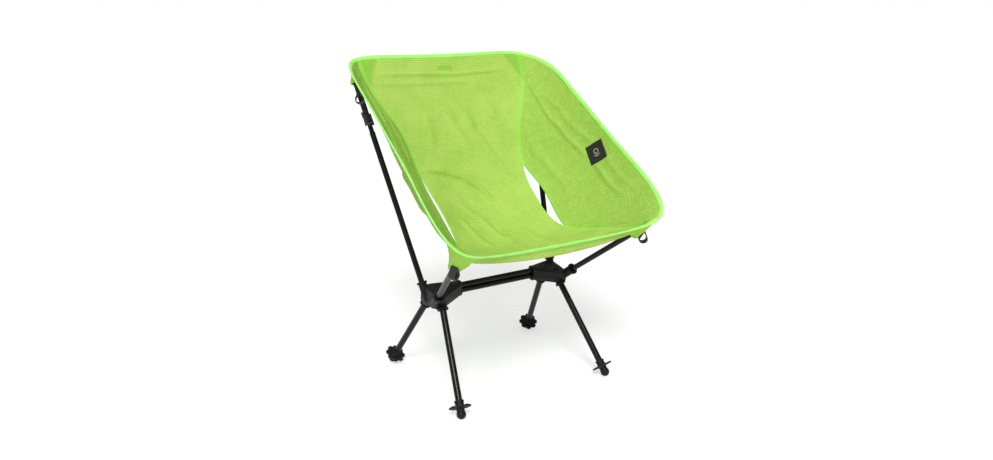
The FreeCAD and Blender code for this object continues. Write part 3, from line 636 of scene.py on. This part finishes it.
def behind_hem_label(points):
    """1 where the hem label is sewn on behind the cloth and darkens it."""
    off_along = np.abs(SHARES * SLING_LENGTH - HEM_LABEL_PLACE)[:, None]
    off_across = np.abs(points[..., 0])
    fade = 2 * MM
    return smooth((HEM_LABEL_HALF[0] - off_along) / fade) * smooth((HEM_LABEL_HALF[1] - off_across) / fade)


def ruffled(grid, shares, folds, width, hem):
    """A panel's grid with its folds, held flat at its edges."""
    fade = smooth(SHARES / 0.035) * smooth((1 - SHARES) / 0.05)
    heights = fold_heights(SHARES, shares, folds, SLING_LENGTH, width)
    heights += crumple(grid, 0.09, 5) * 0.7 * MM
    if folds is RIGHT_FOLDS:
        heights *= calm_round_label(shares)
    across = np.minimum(shares, 1 - shares)
    hold = smooth(across / hem)[None, :] * fade[:, None]
    return grid + grid_normals(grid) * (heights * hold)[:, :, None]


def sling_panels():
    """Point grids of the centre, right and left panels with their folds."""
    centre, side, centre_shares, side_shares = sling_grids()
    pull_to_rim(centre, side)
    right = ruffled(side, side_shares, RIGHT_FOLDS, SIDE_WIDTH, 0.05)
    left = ruffled(side, side_shares, LEFT_FOLDS, SIDE_WIDTH, 0.05) * (-1, 1, 1)
    centre = ruffled(centre, centre_shares, CENTRE_FOLDS, SEAT_WIDTH, 0.03)
    centre = centre + grid_normals(centre) * (patch_share(centre) * PATCH_RAISE)[:, :, None]
    return centre, right, left


def lay_flat(grid):
    """Arc lengths across and along a grid, as flat coordinates."""
    lengths = []
    for axis in (1, 0):
        steps = np.linalg.norm(np.diff(grid, axis=axis), axis=2)
        start = np.zeros_like(np.take(steps, [0], axis=axis))
        lengths.append(np.concatenate([start, np.cumsum(steps, axis=axis)], axis=axis))
    return lengths


def outward_mesh(builder, name):
    """Mesh from a builder, with its faces turned outwards."""
    bmesh.ops.recalc_face_normals(builder, faces=builder.faces)
    mesh = bpy.data.meshes.new(name)
    builder.to_mesh(mesh)
    builder.free()
    return mesh


def grid_faces(builder, uv_layer, verts, across, along, flip=False):
    """Faces over a grid of vertices, with the flat coordinates of their corners."""
    for row in range(len(verts) - 1):
        for column in range(len(verts[0]) - 1):
            corners = ((row, column), (row, column + 1), (row + 1, column + 1), (row + 1, column))
            if flip:
                corners = corners[::-1]
            face = builder.faces.new([verts[down][over] for down, over in corners])
            for loop, corner in zip(face.loops, corners):
                loop[uv_layer].uv = (across[corner], along[corner])


def build_sheet():
    """The three panels as one mesh that is joined along the seams and open at the slits."""
    centre, right, left = sling_panels()
    builder = bmesh.new()
    uv_layer = builder.loops.layers.uv.new("flat")
    band_layer = builder.verts.layers.float.new("band")
    patch_layer = builder.verts.layers.float.new("patch")
    # Share of painted shade on each vertex, read by the fabric material: none on the centre panel.
    side_shade_layer = builder.verts.layers.float.new("side")
    together = slit_opening() <= 1e-6

    def add_grid(grid, band_columns, shared=None, flip=False, shade_share=0.0):
        rows, columns = grid.shape[:2]
        patches = np.zeros((rows, columns))
        if shared is None:
            patches = np.maximum(patch_share(grid), behind_hem_label(grid))
        verts = [[None] * columns for _ in range(rows)]
        for row in range(rows):
            for column in range(columns):
                if shared is not None and column == 0 and together[row]:
                    verts[row][0] = shared[row]
                    continue
                verts[row][column] = builder.verts.new(grid[row, column])
                verts[row][column][band_layer] = 1.0 if column in band_columns else 0.0
                verts[row][column][patch_layer] = patches[row, column]
                verts[row][column][side_shade_layer] = shade_share
        grid_faces(builder, uv_layer, verts, *lay_flat(grid), flip=flip)
        return verts

    last = centre.shape[1] - 1
    middle_verts = add_grid(centre, (0, 1, last - 1, last))
    right_seam = [row[-1] for row in middle_verts]
    left_seam = [row[0] for row in middle_verts]
    # Painted shade on the side panels: the left one fully, the right one partly.
    add_grid(right, (0, 1), right_seam, shade_share=RIGHT_PANEL_SHADE_SHARE)
    add_grid(left, (0, 1), left_seam, flip=True, shade_share=1.0)
    return outward_mesh(builder, "sling_sheet")


def linked(mesh, name):
    obj = bpy.data.objects.new(name, mesh)
    bpy.context.collection.objects.link(obj)
    return obj


def with_modifiers(obj):
    """New mesh with the object's modifiers applied."""
    graph = bpy.context.evaluated_depsgraph_get()
    mesh = bpy.data.meshes.new_from_object(obj.evaluated_get(graph), preserve_all_data_layers=True,
                                           depsgraph=graph)
    bpy.data.objects.remove(obj)
    return mesh


def thickened(mesh):
    obj = linked(mesh, "sheet")
    modifier = obj.modifiers.new("thickness", "SOLIDIFY")
    modifier.thickness = CLOTH_THICKNESS
    modifier.offset = 0.0
    modifier.use_even_offset = True
    return with_modifiers(obj)


# ---------------------------------------------------------------- corners of the sling, cut off near the poles
class Zone:
    """Stretch of the sling near a corner, beyond one plane and up to the next zone."""

    def __init__(self, name, before, after, side, origin, normal, length):
        self.name = name
        self.before = before
        self.after = after
        self.side = side
        mirror = np.array((side, 1, 1))
        self.origin = np.array(origin) * mirror
        self.normal = np.array(normal) / np.linalg.norm(normal) * mirror
        self.length = length

    def beyond(self, points):
        return (points - self.origin) @ self.normal

    def blend(self, obj):
        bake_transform(obj)


# Corner points of the rim on the right, and the direction from each into the sling.
CORNER_POINTS = {"front": np.array((222, -240, 366)) * MM, "rear": np.array((222, 222, 652)) * MM}
CORNER_INTO = {"front": np.array((-0.64, 0.69, 0.34)), "rear": np.array((-0.68, -0.67, -0.31))}
ZONE_REACH = 0.21
# Zones of a corner as (name, body before, body after, start, length). The start is how far from the corner
# the sling is cut, and the bodies and the length are kept on each zone.
ZONE_STEPS = (("front", "root", "pole_front", 0.105, 0.055),
              ("rear_lower", "root", "pole_rear", 0.12, 0.04),
              ("rear", "pole_rear", "tip_rear", 0.078, 0.035))


def corner_zones():
    zones = []
    for side, word in ((1, "right"), (-1, "left")):
        for name, before, after, start, length in ZONE_STEPS:
            if before != "root":
                before = f"{before}_{word}"
            end = name.split("_")[0]
            into = CORNER_INTO[end] / np.linalg.norm(CORNER_INTO[end])
            zones.append(Zone(f"{name}_{word}", before, f"{after}_{word}", side,
                              CORNER_POINTS[end] + into * start, -into, length))
    return zones


ZONES = corner_zones()


def near_corner(zone, points):
    corner = CORNER_POINTS[zone.name.split("_")[0]] * (zone.side, 1, 1)
    return np.linalg.norm(points - corner, axis=-1) < ZONE_REACH


def split_by_zones(mesh, name, material, replaced, main_replaced):
    """Cuts a mesh at the zones' planes, gives each part the whole mesh's normals, and puts the main part on the
    root body.
    """
    builder = bmesh.new()
    builder.from_mesh(mesh)
    for zone in ZONES:
        faces = [face for face in builder.faces if near_corner(zone, np.array(face.calc_center_median()))]
        verts = list({vert for face in faces for vert in face.verts})
        edges = list({edge for face in faces for edge in face.edges})
        bmesh.ops.bisect_plane(builder, geom=verts + edges + faces, dist=1e-6,
                               plane_co=Vector(zone.origin), plane_no=Vector(zone.normal))
    origin_layer = builder.verts.layers.int.new("origin")
    builder.verts.ensure_lookup_table()
    for index, vert in enumerate(builder.verts):
        vert[origin_layer] = index
    whole = bpy.data.meshes.new(name + "_whole")
    builder.normal_update()
    builder.to_mesh(whole)
    builder.free()
    normals = np.array([vert.normal[:] for vert in whole.vertices])
    centres = np.array([face.center[:] for face in whole.polygons])
    owner = np.zeros(len(centres), int)
    for index, zone in enumerate(ZONES, start=1):
        inside = near_corner(zone, centres) & (zone.beyond(centres) > 0)
        owner[inside] = index
    pieces = {}
    for index in range(len(ZONES) + 1):
        part = bmesh.new()
        part.from_mesh(whole)
        part.faces.ensure_lookup_table()
        others = [face for face, own in zip(part.faces, owner) if own != index]
        bmesh.ops.delete(part, geom=others, context="FACES")
        open_edges = [edge for edge in part.edges if edge.is_boundary]
        bmesh.ops.triangle_fill(part, edges=open_edges, use_beauty=True)
        layer = part.verts.layers.int["origin"]
        kept = [vert[layer] for vert in part.verts]
        title = name if index == 0 else f"{name}_{ZONES[index - 1].name}"
        data = bpy.data.meshes.new(title)
        part.to_mesh(data)
        part.free()
        if not data.polygons:
            continue
        data.attributes.remove(data.attributes["origin"])
        mend_coordinates(data)
        data.materials.clear()
        data.materials.append(material)
        data.polygons.foreach_set("use_smooth", [True] * len(data.polygons))
        data.normals_split_custom_set_from_vertices([Vector(normals[i]) for i in kept])
        obj = linked(data, title)
        if index == 0:
            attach(obj, "root")
            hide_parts(*main_replaced)
        else:
            zone = ZONES[index - 1]
            zone.blend(obj)
            if zone.name in replaced:
                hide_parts(*replaced[zone.name])
        pieces[title] = obj
    bpy.data.meshes.remove(whole)
    return pieces


def mend_coordinates(mesh):
    """Clears the flat coordinates of slivers without area, which have none."""
    marks = np.zeros(len(mesh.loops) * 2)
    mesh.uv_layers["flat"].data.foreach_get("uv", marks)
    mesh.uv_layers["flat"].data.foreach_set("uv", np.nan_to_num(marks))


def corner_nodes(form):
    """CAD nodes that each corner's cloth stands for."""
    corners = [(end, word) for end in ("front", "rear") for word in ("left", "right")]
    return {f"{end}_{word}": [form.format(end=end, word=word)] for end, word in corners}


def build_sling():
    sheet = thickened(build_sheet())
    pieces = split_by_zones(sheet, "sling", MATERIALS["mesh_fabric"],
                            corner_nodes("corner_patch_{end}_{word}"),
                            ("centre_panel", "side_panel_left", "side_panel_right"))
    return pieces


# ---------------------------------------------------------------- edge binding
BINDING_DEPTH = 4.4 * MM
BINDING_HALF = 1.9 * MM
BINDING_INSET = 1.5 * MM
BINDING_RIPPLE = 7.0 * MM
BINDING_POINTS = 20
BINDING_STATIONS = 640


def loop_tangents(loop):
    tangents = np.roll(loop, -1, axis=0) - np.roll(loop, 1, axis=0)
    return tangents / np.linalg.norm(tangents, axis=1, keepdims=True)


def evenly(loop, count):
    """A closed loop of points resampled at equal steps."""
    closed = np.concatenate([loop, loop[:1]])
    steps = np.linalg.norm(np.diff(closed, axis=0), axis=1)
    lengths = np.concatenate([[0.0], np.cumsum(steps)])
    marks = np.linspace(0.0, lengths[-1], count, endpoint=False)
    return np.stack([np.interp(marks, lengths, closed[:, axis]) for axis in range(3)], axis=1), lengths[-1]


def inward_directions(loop, tangents):
    """Direction from each rim point into the cloth beside it, square to the rim."""
    centre, side, _, _ = sling_grids()
    cloth = np.concatenate([grid.reshape(-1, 3) for grid in (centre, side, side * (-1, 1, 1))])
    found = []
    for point, tangent in zip(loop, tangents):
        offsets = cloth - point
        distance = np.linalg.norm(offsets, axis=1)
        chosen = offsets[(distance > 9 * MM) & (distance < 22 * MM)]
        direction = chosen.mean(axis=0)
        direction = direction - tangent * (direction @ tangent)
        found.append(direction / np.linalg.norm(direction))
    found = np.array(found)
    for _ in range(12):
        found = (found + np.roll(found, 1, axis=0) + np.roll(found, -1, axis=0)) / 3
    return found / np.linalg.norm(found, axis=1, keepdims=True)


def swept(name, sections, along, across, caps=False):
    """Mesh through sections of points, closed round each one, with flat coordinates along and across.

    The sweep closes into a ring where `along` has one value more than there are sections.
    """
    builder = bmesh.new()
    uv_layer = builder.loops.layers.uv.new("flat")
    verts = [[builder.verts.new(point) for point in section] for section in sections]
    rows, columns = len(verts), len(verts[0])
    for row in range(len(along) - 1):
        for column in range(columns):
            corners = ((row, column), (row, column + 1), (row + 1, column + 1), (row + 1, column))
            face = builder.faces.new([verts[down % rows][over % columns] for down, over in corners])
            for loop, (down, over) in zip(face.loops, corners):
                loop[uv_layer].uv = (along[down], across[over % len(across)])
    if caps:
        builder.faces.new(list(reversed(verts[0])))
        builder.faces.new(verts[-1])
    return outward_mesh(builder, name)


def lengths_along(sections):
    """Mean distance of each section from the first, along the sweep."""
    steps = np.linalg.norm(np.diff(np.array(sections), axis=0), axis=2).mean(axis=1)
    return np.concatenate([[0.0], np.cumsum(steps)])


def build_binding():
    """Tape folded over the edge all round, one swept mesh that is then split at the corners."""
    loop, length = evenly(RIM_LOOP, BINDING_STATIONS)
    tangents = loop_tangents(loop)
    inward = inward_directions(loop, tangents)
    upright = np.cross(tangents, inward)
    angles = np.linspace(0, 2 * math.pi, BINDING_POINTS, endpoint=False)
    marks = np.linspace(0.0, length, BINDING_STATIONS + 1)
    sections = []
    for place, into, up, mark in zip(loop, inward, upright, marks):
        ripple = 1.0 + 0.05 * math.sin(mark / BINDING_RIPPLE)
        section = []
        for angle in angles:
            depth = math.cos(angle)
            swell = abs(math.sin(angle)) ** 0.75 * math.copysign(1.0, math.sin(angle))
            pinch = 1.0 - 0.28 * math.exp(-((depth - 0.45) / 0.16) ** 2)
            section.append(place + into * (depth * BINDING_DEPTH + BINDING_INSET)
                           + up * (swell * BINDING_HALF * ripple * pinch))
        sections.append(section)
    tape = swept("binding_whole", sections, marks, np.cos(angles))
    split_by_zones(tape, "binding", MATERIALS["edge_binding"],
                   corner_nodes("binding_corner_{end}_{word}"),
                   ("binding_top", "binding_front", "binding_left", "binding_right"))


# ---------------------------------------------------------------- poles, pockets and webbing
BODIES = frame["record"]["behaviour"]["bodies"]
BODY_OF_NODE = {node: body for body, nodes in BODIES.items() for node in nodes}
AXIS_OF_BODY = {joint["child"]: np.array(joint["axis"], float) for joint in frame["joints"]}


def node_middle(node):
    low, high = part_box(node)
    return (np.array(low) + np.array(high)) / 2


def node_points(node):
    data = frame["nodes"][node].data
    points = np.empty(len(data.vertices) * 3)
    data.vertices.foreach_get("co", points)
    return points.reshape(-1, 3)


class Pole:
    """Axis of a pole tube, with its places measured from the tip of its cap back towards the hub."""

    def __init__(self, end, word):
        tube = f"front_pole_{word}" if end == "front" else f"rear_pole_upper_{word}"
        self.end = end
        self.word = word
        self.side = 1 if word == "right" else -1
        self.body = BODY_OF_NODE[tube]
        self.direction = AXIS_OF_BODY[self.body] / np.linalg.norm(AXIS_OF_BODY[self.body])
        middle = node_middle(tube)
        reach = (node_points(f"{end}_pole_{word}_cap") - middle) @ self.direction
        self.tip = middle + self.direction * reach.max()
        self.side_step = np.cross(self.direction, (0, 0, 1))
        self.side_step /= np.linalg.norm(self.side_step)
        self.up_step = np.cross(self.side_step, self.direction)

    def at(self, back, radius=0.0, angle=0.0):
        round_it = self.side_step * math.cos(angle) + self.up_step * math.sin(angle)
        return self.tip - self.direction * back + round_it * radius

    def angle_of(self, point):
        return math.atan2((point - self.tip) @ self.up_step, (point - self.tip) @ self.side_step)

    def square(self, steps):
        """Unit directions of some steps, without their part along the pole."""
        steps = steps - np.outer(steps @ self.direction, self.direction)
        return steps / np.linalg.norm(steps, axis=1, keepdims=True)

    def span(self, points):
        """Nearest and farthest of some points back from the tip, and their least distance from the axis."""
        points = points - self.tip
        back = -(points @ self.direction)
        off = np.linalg.norm(points + np.outer(back, self.direction), axis=1)
        return back.min(), back.max(), off.min()


POLES = [Pole(end, word) for end in ("front", "rear") for word in ("left", "right")]


def finished(mesh, name, material, body, nodes, thickness=0.0, subdivide=0):
    """Puts a mesh on its body with its material, made thicker and smoother first where asked."""
    obj = linked(mesh, name)
    if thickness:
        modifier = obj.modifiers.new("thickness", "SOLIDIFY")
        modifier.thickness = thickness
        modifier.offset = 0.0
    if subdivide:
        modifier = obj.modifiers.new("smooth", "SUBSURF")
        modifier.levels = modifier.render_levels = subdivide
    if thickness or subdivide:
        mesh = with_modifiers(obj)
        obj = linked(mesh, name)
    mesh.polygons.foreach_set("use_smooth", [True] * len(mesh.polygons))
    mesh.materials.clear()
    mesh.materials.append(MATERIALS[material])
    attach(obj, body)
    if nodes:
        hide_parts(*nodes)
    return obj


POCKET_DEPTH = {"front": 38.0 * MM, "rear": 15.0 * MM}
POCKET_RADIUS = {"front": 11.8 * MM, "rear": 9.6 * MM}
POCKET_ARC = {"front": 40.0 * MM, "rear": 25.0 * MM}
POCKET_WAIST = {"front": 0.55, "rear": 0.8}
POCKET_TUCK = 9.0 * MM
POCKET_OUTER = 0.62
HEM_WIDTH = 3.0 * MM
HEM_SWELL = 0.9 * MM
POCKET_ROWS = 16
POCKET_COLUMNS = 56


def rim_arc(pole, half_length, count):
    """Stretch of the rim on both sides of the point that a pole's line passes nearest."""
    loop, length = evenly(RIM_LOOP, 2000)
    offsets = loop - pole.tip
    along = offsets @ pole.direction
    away = np.linalg.norm(offsets - along[:, None] * pole.direction, axis=1)
    away[np.linalg.norm(offsets, axis=1) > 0.08] = 1.0
    middle = int(np.argmin(away))
    reach = half_length / length * len(loop)
    marks = np.linspace(middle - reach, middle + reach, count)
    return np.array([loop[int(round(mark)) % len(loop)] for mark in marks])


def build_pocket(pole):
    """Fabric pocket: from the rim's corner it narrows to a hemmed mouth round the pole."""
    outer_count = int(POCKET_COLUMNS * POCKET_OUTER)
    arc = rim_arc(pole, POCKET_ARC[pole.end], outer_count)
    inner_count = POCKET_COLUMNS - outer_count
    shares = (np.arange(inner_count) + 1) / (inner_count + 1)
    chord = arc[-1] + (arc[0] - arc[-1]) * shares[:, None]
    chord = chord - pole.direction * (np.sin(shares * math.pi) * POCKET_TUCK)[:, None]
    top = np.concatenate([arc, chord])
    depth, radius = POCKET_DEPTH[pole.end], POCKET_RADIUS[pole.end]
    middle_angle = pole.angle_of(arc[outer_count // 2])
    sign = -1.0 if math.sin(pole.angle_of(arc[0]) - middle_angle) > 0 else 1.0
    turns = np.arange(POCKET_COLUMNS) / POCKET_COLUMNS - POCKET_OUTER / 2
    angles = middle_angle + sign * turns * 2 * math.pi
    mouth = np.array([pole.at(depth, radius, angle) for angle in angles])
    rings = []
    for share in np.linspace(0, 1, POCKET_ROWS + 1):
        above = np.array([pole.at(depth * (1 - share) * 0.9, radius, angle) for angle in angles])
        straight = top + (mouth - top) * share ** POCKET_WAIST[pole.end]
        hug = smooth((share - 0.45) / 0.55)
        ring = straight * (1 - hug) + (above * (1 - share) + mouth * share) * hug
        folds = np.sin(angles * 5 + 1.3) * 0.9 + np.sin(angles * 8 + share * 4) * 0.6
        swell = math.sin(math.pi * share) * (1.6 + folds) * MM
        rings.append(ring + pole.square(ring - pole.at(depth * share)) * swell[:, None])
    for ring in (rings[-1], rings[-1] + pole.direction * HEM_WIDTH):
        rings.append(ring + pole.square(ring - pole.at(depth)) * HEM_SWELL)
    around = np.linalg.norm(top - np.roll(top, 1, axis=0), axis=1).mean()
    strip = swept("strip", rings, lengths_along(rings), np.arange(POCKET_COLUMNS + 1) * around)
    pocket = finished(strip, f"pocket_{pole.end}_{pole.word}", "pocket_fabric",
                      pole.body, [f"corner_pocket_{pole.end}_{pole.word}"], thickness=0.9 * MM, subdivide=1)


WEBBING_THICKNESS = 2.0 * MM


def tape_profile(edge, shoulder, crown):
    """Rounded section of a tape as places across from -1 to 1 and heights, below and then above."""
    half = ((-1, edge), (-0.5, shoulder), (0, crown), (0.5, shoulder), (1, edge))
    return [(over, -lift) for over, lift in half] + list(reversed(half))


def tape_section(profile, point, across, out, width):
    """Points of a tape's section: its width is along `across` and its thickness along `out`."""
    return [point + across * over * width / 2 + out * lift * WEBBING_THICKNESS / 2 for over, lift in profile]


def build_tape(sections, name, pole, nodes, subdivide=0):
    """Closed webbing tape, with coordinates along in metres and across from -1 to 1."""
    half = len(sections[0]) // 2
    across = [index * 2 / (half - 1) - 1 for index in range(half)]
    mesh = swept("tape", sections, lengths_along(sections), across + across[::-1], caps=True)
    finished(mesh, name, "webbing", pole.body, nodes, subdivide=subdivide)


LOOP_RADIUS = 8.0 * MM
LOOP_LENGTH = 18.0 * MM
LOOP_WIDTH = 14.5 * MM
LOOP_PROFILE = tape_profile(1.0, 1.12, 1.15)
LOOP_SIDE_STEPS = 7
LOOP_ROUND_STEPS = 30
LOOP_UP = {"front": np.array((0, -0.2, 1.0)), "rear": np.array((-0.1, 0.35, 0.9))}
LOOP_ACROSS = {"front": np.array((0.45, 0.88, -0.1)), "rear": np.array((0.42, -0.88, 0.2))}


def build_pull_loop(pole):
    """Webbing loop: a round end and two straight sides that come together at a sewn root."""
    node = f"pull_loop_{pole.end}_{pole.word}"
    mirror = np.array((pole.side, 1, 1))
    up = LOOP_UP[pole.end] * mirror
    up = up / np.linalg.norm(up)
    across = LOOP_ACROSS[pole.end] * mirror
    across = across - up * (across @ up)
    across /= np.linalg.norm(across)
    sideways = np.cross(up, across)
    spread = (node_points(node) - node_middle(node)) @ up
    centre = node_middle(node) + up * (spread.min() + LOOP_RADIUS + 0.8 * MM)
    turn = math.acos(LOOP_RADIUS / LOOP_LENGTH)
    root = up * LOOP_LENGTH
    touch = (sideways * math.sin(turn) + up * math.cos(turn)) * LOOP_RADIUS
    path = [root + (touch - root) * step / LOOP_SIDE_STEPS for step in range(LOOP_SIDE_STEPS)]
    for angle in np.linspace(math.pi / 2 - turn, -3 * math.pi / 2 + turn, LOOP_ROUND_STEPS):
        path.append((sideways * math.cos(angle) + up * math.sin(angle)) * LOOP_RADIUS)
    path += [point - 2 * sideways * (point @ sideways) for point in reversed(path[:LOOP_SIDE_STEPS])]
    path = np.array(path) + centre
    tangents = np.gradient(path, axis=0)
    tangents /= np.linalg.norm(tangents, axis=1, keepdims=True)
    sections = []
    for index, (point, tangent) in enumerate(zip(path, tangents)):
        sway = across * (0.4 * MM * math.sin(index * 0.35))
        out = np.cross(tangent, across)
        sections.append(tape_section(LOOP_PROFILE, point + sway, across, out, LOOP_WIDTH))
    build_tape(sections, node + "_webbing", pole, [node], subdivide=1)


KEEPER_TURNS = 3.4
KEEPER_TAPE = 13.0 * MM
KEEPER_STEPS = 120
KEEPER_PROFILE = tape_profile(1.0, 1.1, 1.1)


def build_keeper(pole):
    """Webbing wound in overlapping slanted turns round the pole."""
    node = f"rear_keeper_{pole.word}"
    low, high, radius = pole.span(node_points(node))
    sections = []
    for share in np.linspace(0, 1, KEEPER_STEPS + 1):
        angle = share * KEEPER_TURNS * 2 * math.pi * pole.side
        back = low + KEEPER_TAPE / 2 + (high - low - KEEPER_TAPE) * share
        lift = radius + (2.2 + 1.3 * math.sin(share * 9)) * MM
        tilt = 4.5 * MM * math.sin(angle)
        section = []
        for over, out in KEEPER_PROFILE:
            place = min(max(back + tilt + over * KEEPER_TAPE / 2, low), high)
            section.append(pole.at(place, lift + out * WEBBING_THICKNESS / 2, angle))
        sections.append(section)
    build_tape(sections, node + "_webbing", pole, [node])


STRAP_WIDTH = 12.0 * MM
STRAP_PROFILE = tape_profile(0.9, 1.1, 1.1)
TAB_LENGTH = 11.0 * MM
TAB_WIDTH = 9.6 * MM


def build_keeper_strap(pole):
    """Webbing from the corner down the pole to its keeper, and the tab from the keeper to the rim."""
    low, high, _ = pole.span(node_points(f"rear_keeper_{pole.word}"))
    rim = RIM_LOOP[np.argmin(((RIM_LOOP - pole.at(high)) ** 2).sum(axis=1))]
    toward = pole.square((rim - pole.at(high))[None, :])[0]
    across = np.cross(pole.direction, toward)
    strap = []
    for share in np.linspace(0, 1, 24):
        back = POCKET_DEPTH["rear"] + 2 * MM + (low + 4 * MM - POCKET_DEPTH["rear"]) * share
        lift = (8.2 + 1.6 * math.sin(share * 9)) * MM
        strap.append(tape_section(STRAP_PROFILE, pole.at(back) + toward * lift, across, toward, STRAP_WIDTH))
    build_tape(strap, f"rear_strap_{pole.word}", pole, [])
    tab = []
    for share in np.linspace(0, 1, 8):
        place = pole.at(high - 5 * MM) + toward * (8 * MM + TAB_LENGTH * share)
        tab.append(tape_section(STRAP_PROFILE, place, across, pole.direction, TAB_WIDTH))
    build_tape(tab, f"rear_tab_{pole.word}", pole, [])


# ---------------------------------------------------------------- hubs
HUB_VOXEL = 0.75 * MM
HUB_SOFTEN = 7


def build_hub(node):
    """Moulded hub: the CAD shape with its corners rounded as they are in a plastic moulding."""
    mesh = frame["nodes"][node].data.copy()
    obj = linked(mesh, node + "_moulded")
    remesh = obj.modifiers.new("remesh", "REMESH")
    remesh.mode = "VOXEL"
    remesh.voxel_size = HUB_VOXEL
    soften = obj.modifiers.new("soften", "SMOOTH")
    soften.iterations = HUB_SOFTEN
    soften.factor = 0.5
    finished(with_modifiers(obj), node + "_moulded", "hub_plastic", "root", [node])


# ---------------------------------------------------------------- labels
LABEL_POINTS = 14
LABEL_BULGE = 0.25 * MM
LABEL_LIFT = 0.55 * MM
LABEL_REACH = 12 * MM


def flat_frame(node):
    """Middle, length direction, width direction and normal of a thin box node."""
    points = node_points(node)
    middle = points.mean(axis=0)
    _, _, axes = np.linalg.svd(points - middle)
    return middle, axes[0], axes[1], axes[2]


def build_label(node, material, inside):
    """Woven label that lies on the cloth: a thin padded rectangle, lower at its edges."""
    middle, along, across, normal = flat_frame(node)
    if normal @ np.array(inside) < 0:
        normal = -normal
    along = along if along[2] > 0 else -along
    across = np.cross(normal, along)
    points = node_points(node) - middle
    half_length = np.abs(points @ along).max() - 0.3 * MM
    half_width = np.abs(points @ across).max() - 0.3 * MM
    cloth = BVHTree.FromObject(sling["sling"], bpy.context.evaluated_depsgraph_get())
    builder = bmesh.new()
    uv_layer = builder.loops.layers.uv.new("flat")
    places = np.linspace(-1, 1, LABEL_POINTS + 1)
    verts = []
    for down in places:
        verts.append([])
        for over in places:
            lift = LABEL_BULGE * (1 - max(abs(down), abs(over)) ** 8) + LABEL_LIFT
            place = middle + along * down * half_length + across * over * half_width
            hit = cloth.ray_cast(Vector(place + normal * LABEL_REACH), Vector(-normal), 2 * LABEL_REACH)[0]
            if hit is not None:
                place = np.array(hit)
            verts[-1].append(builder.verts.new(place + normal * lift))
    grid_faces(builder, uv_layer, verts, *np.meshgrid(places * half_width, places * half_length))
    finished(outward_mesh(builder, node), node + "_cloth", material, "root", [node],
             thickness=0.7 * MM)


# ---------------------------------------------------------------- build
build_camera()
build_stage()
dress_frame()
sling = build_sling()
build_binding()
for pole in POLES:
    build_pocket(pole)
    build_pull_loop(pole)
    if pole.end == "rear":
        build_keeper(pole)
        build_keeper_strap(pole)
for word in ("left", "right"):
    build_hub(f"hub_{word}")
build_label("side_label", "label_fabric", (-1, 0, 0.5))
build_label("top_label", "plain_label", (0, 1, -0.4))
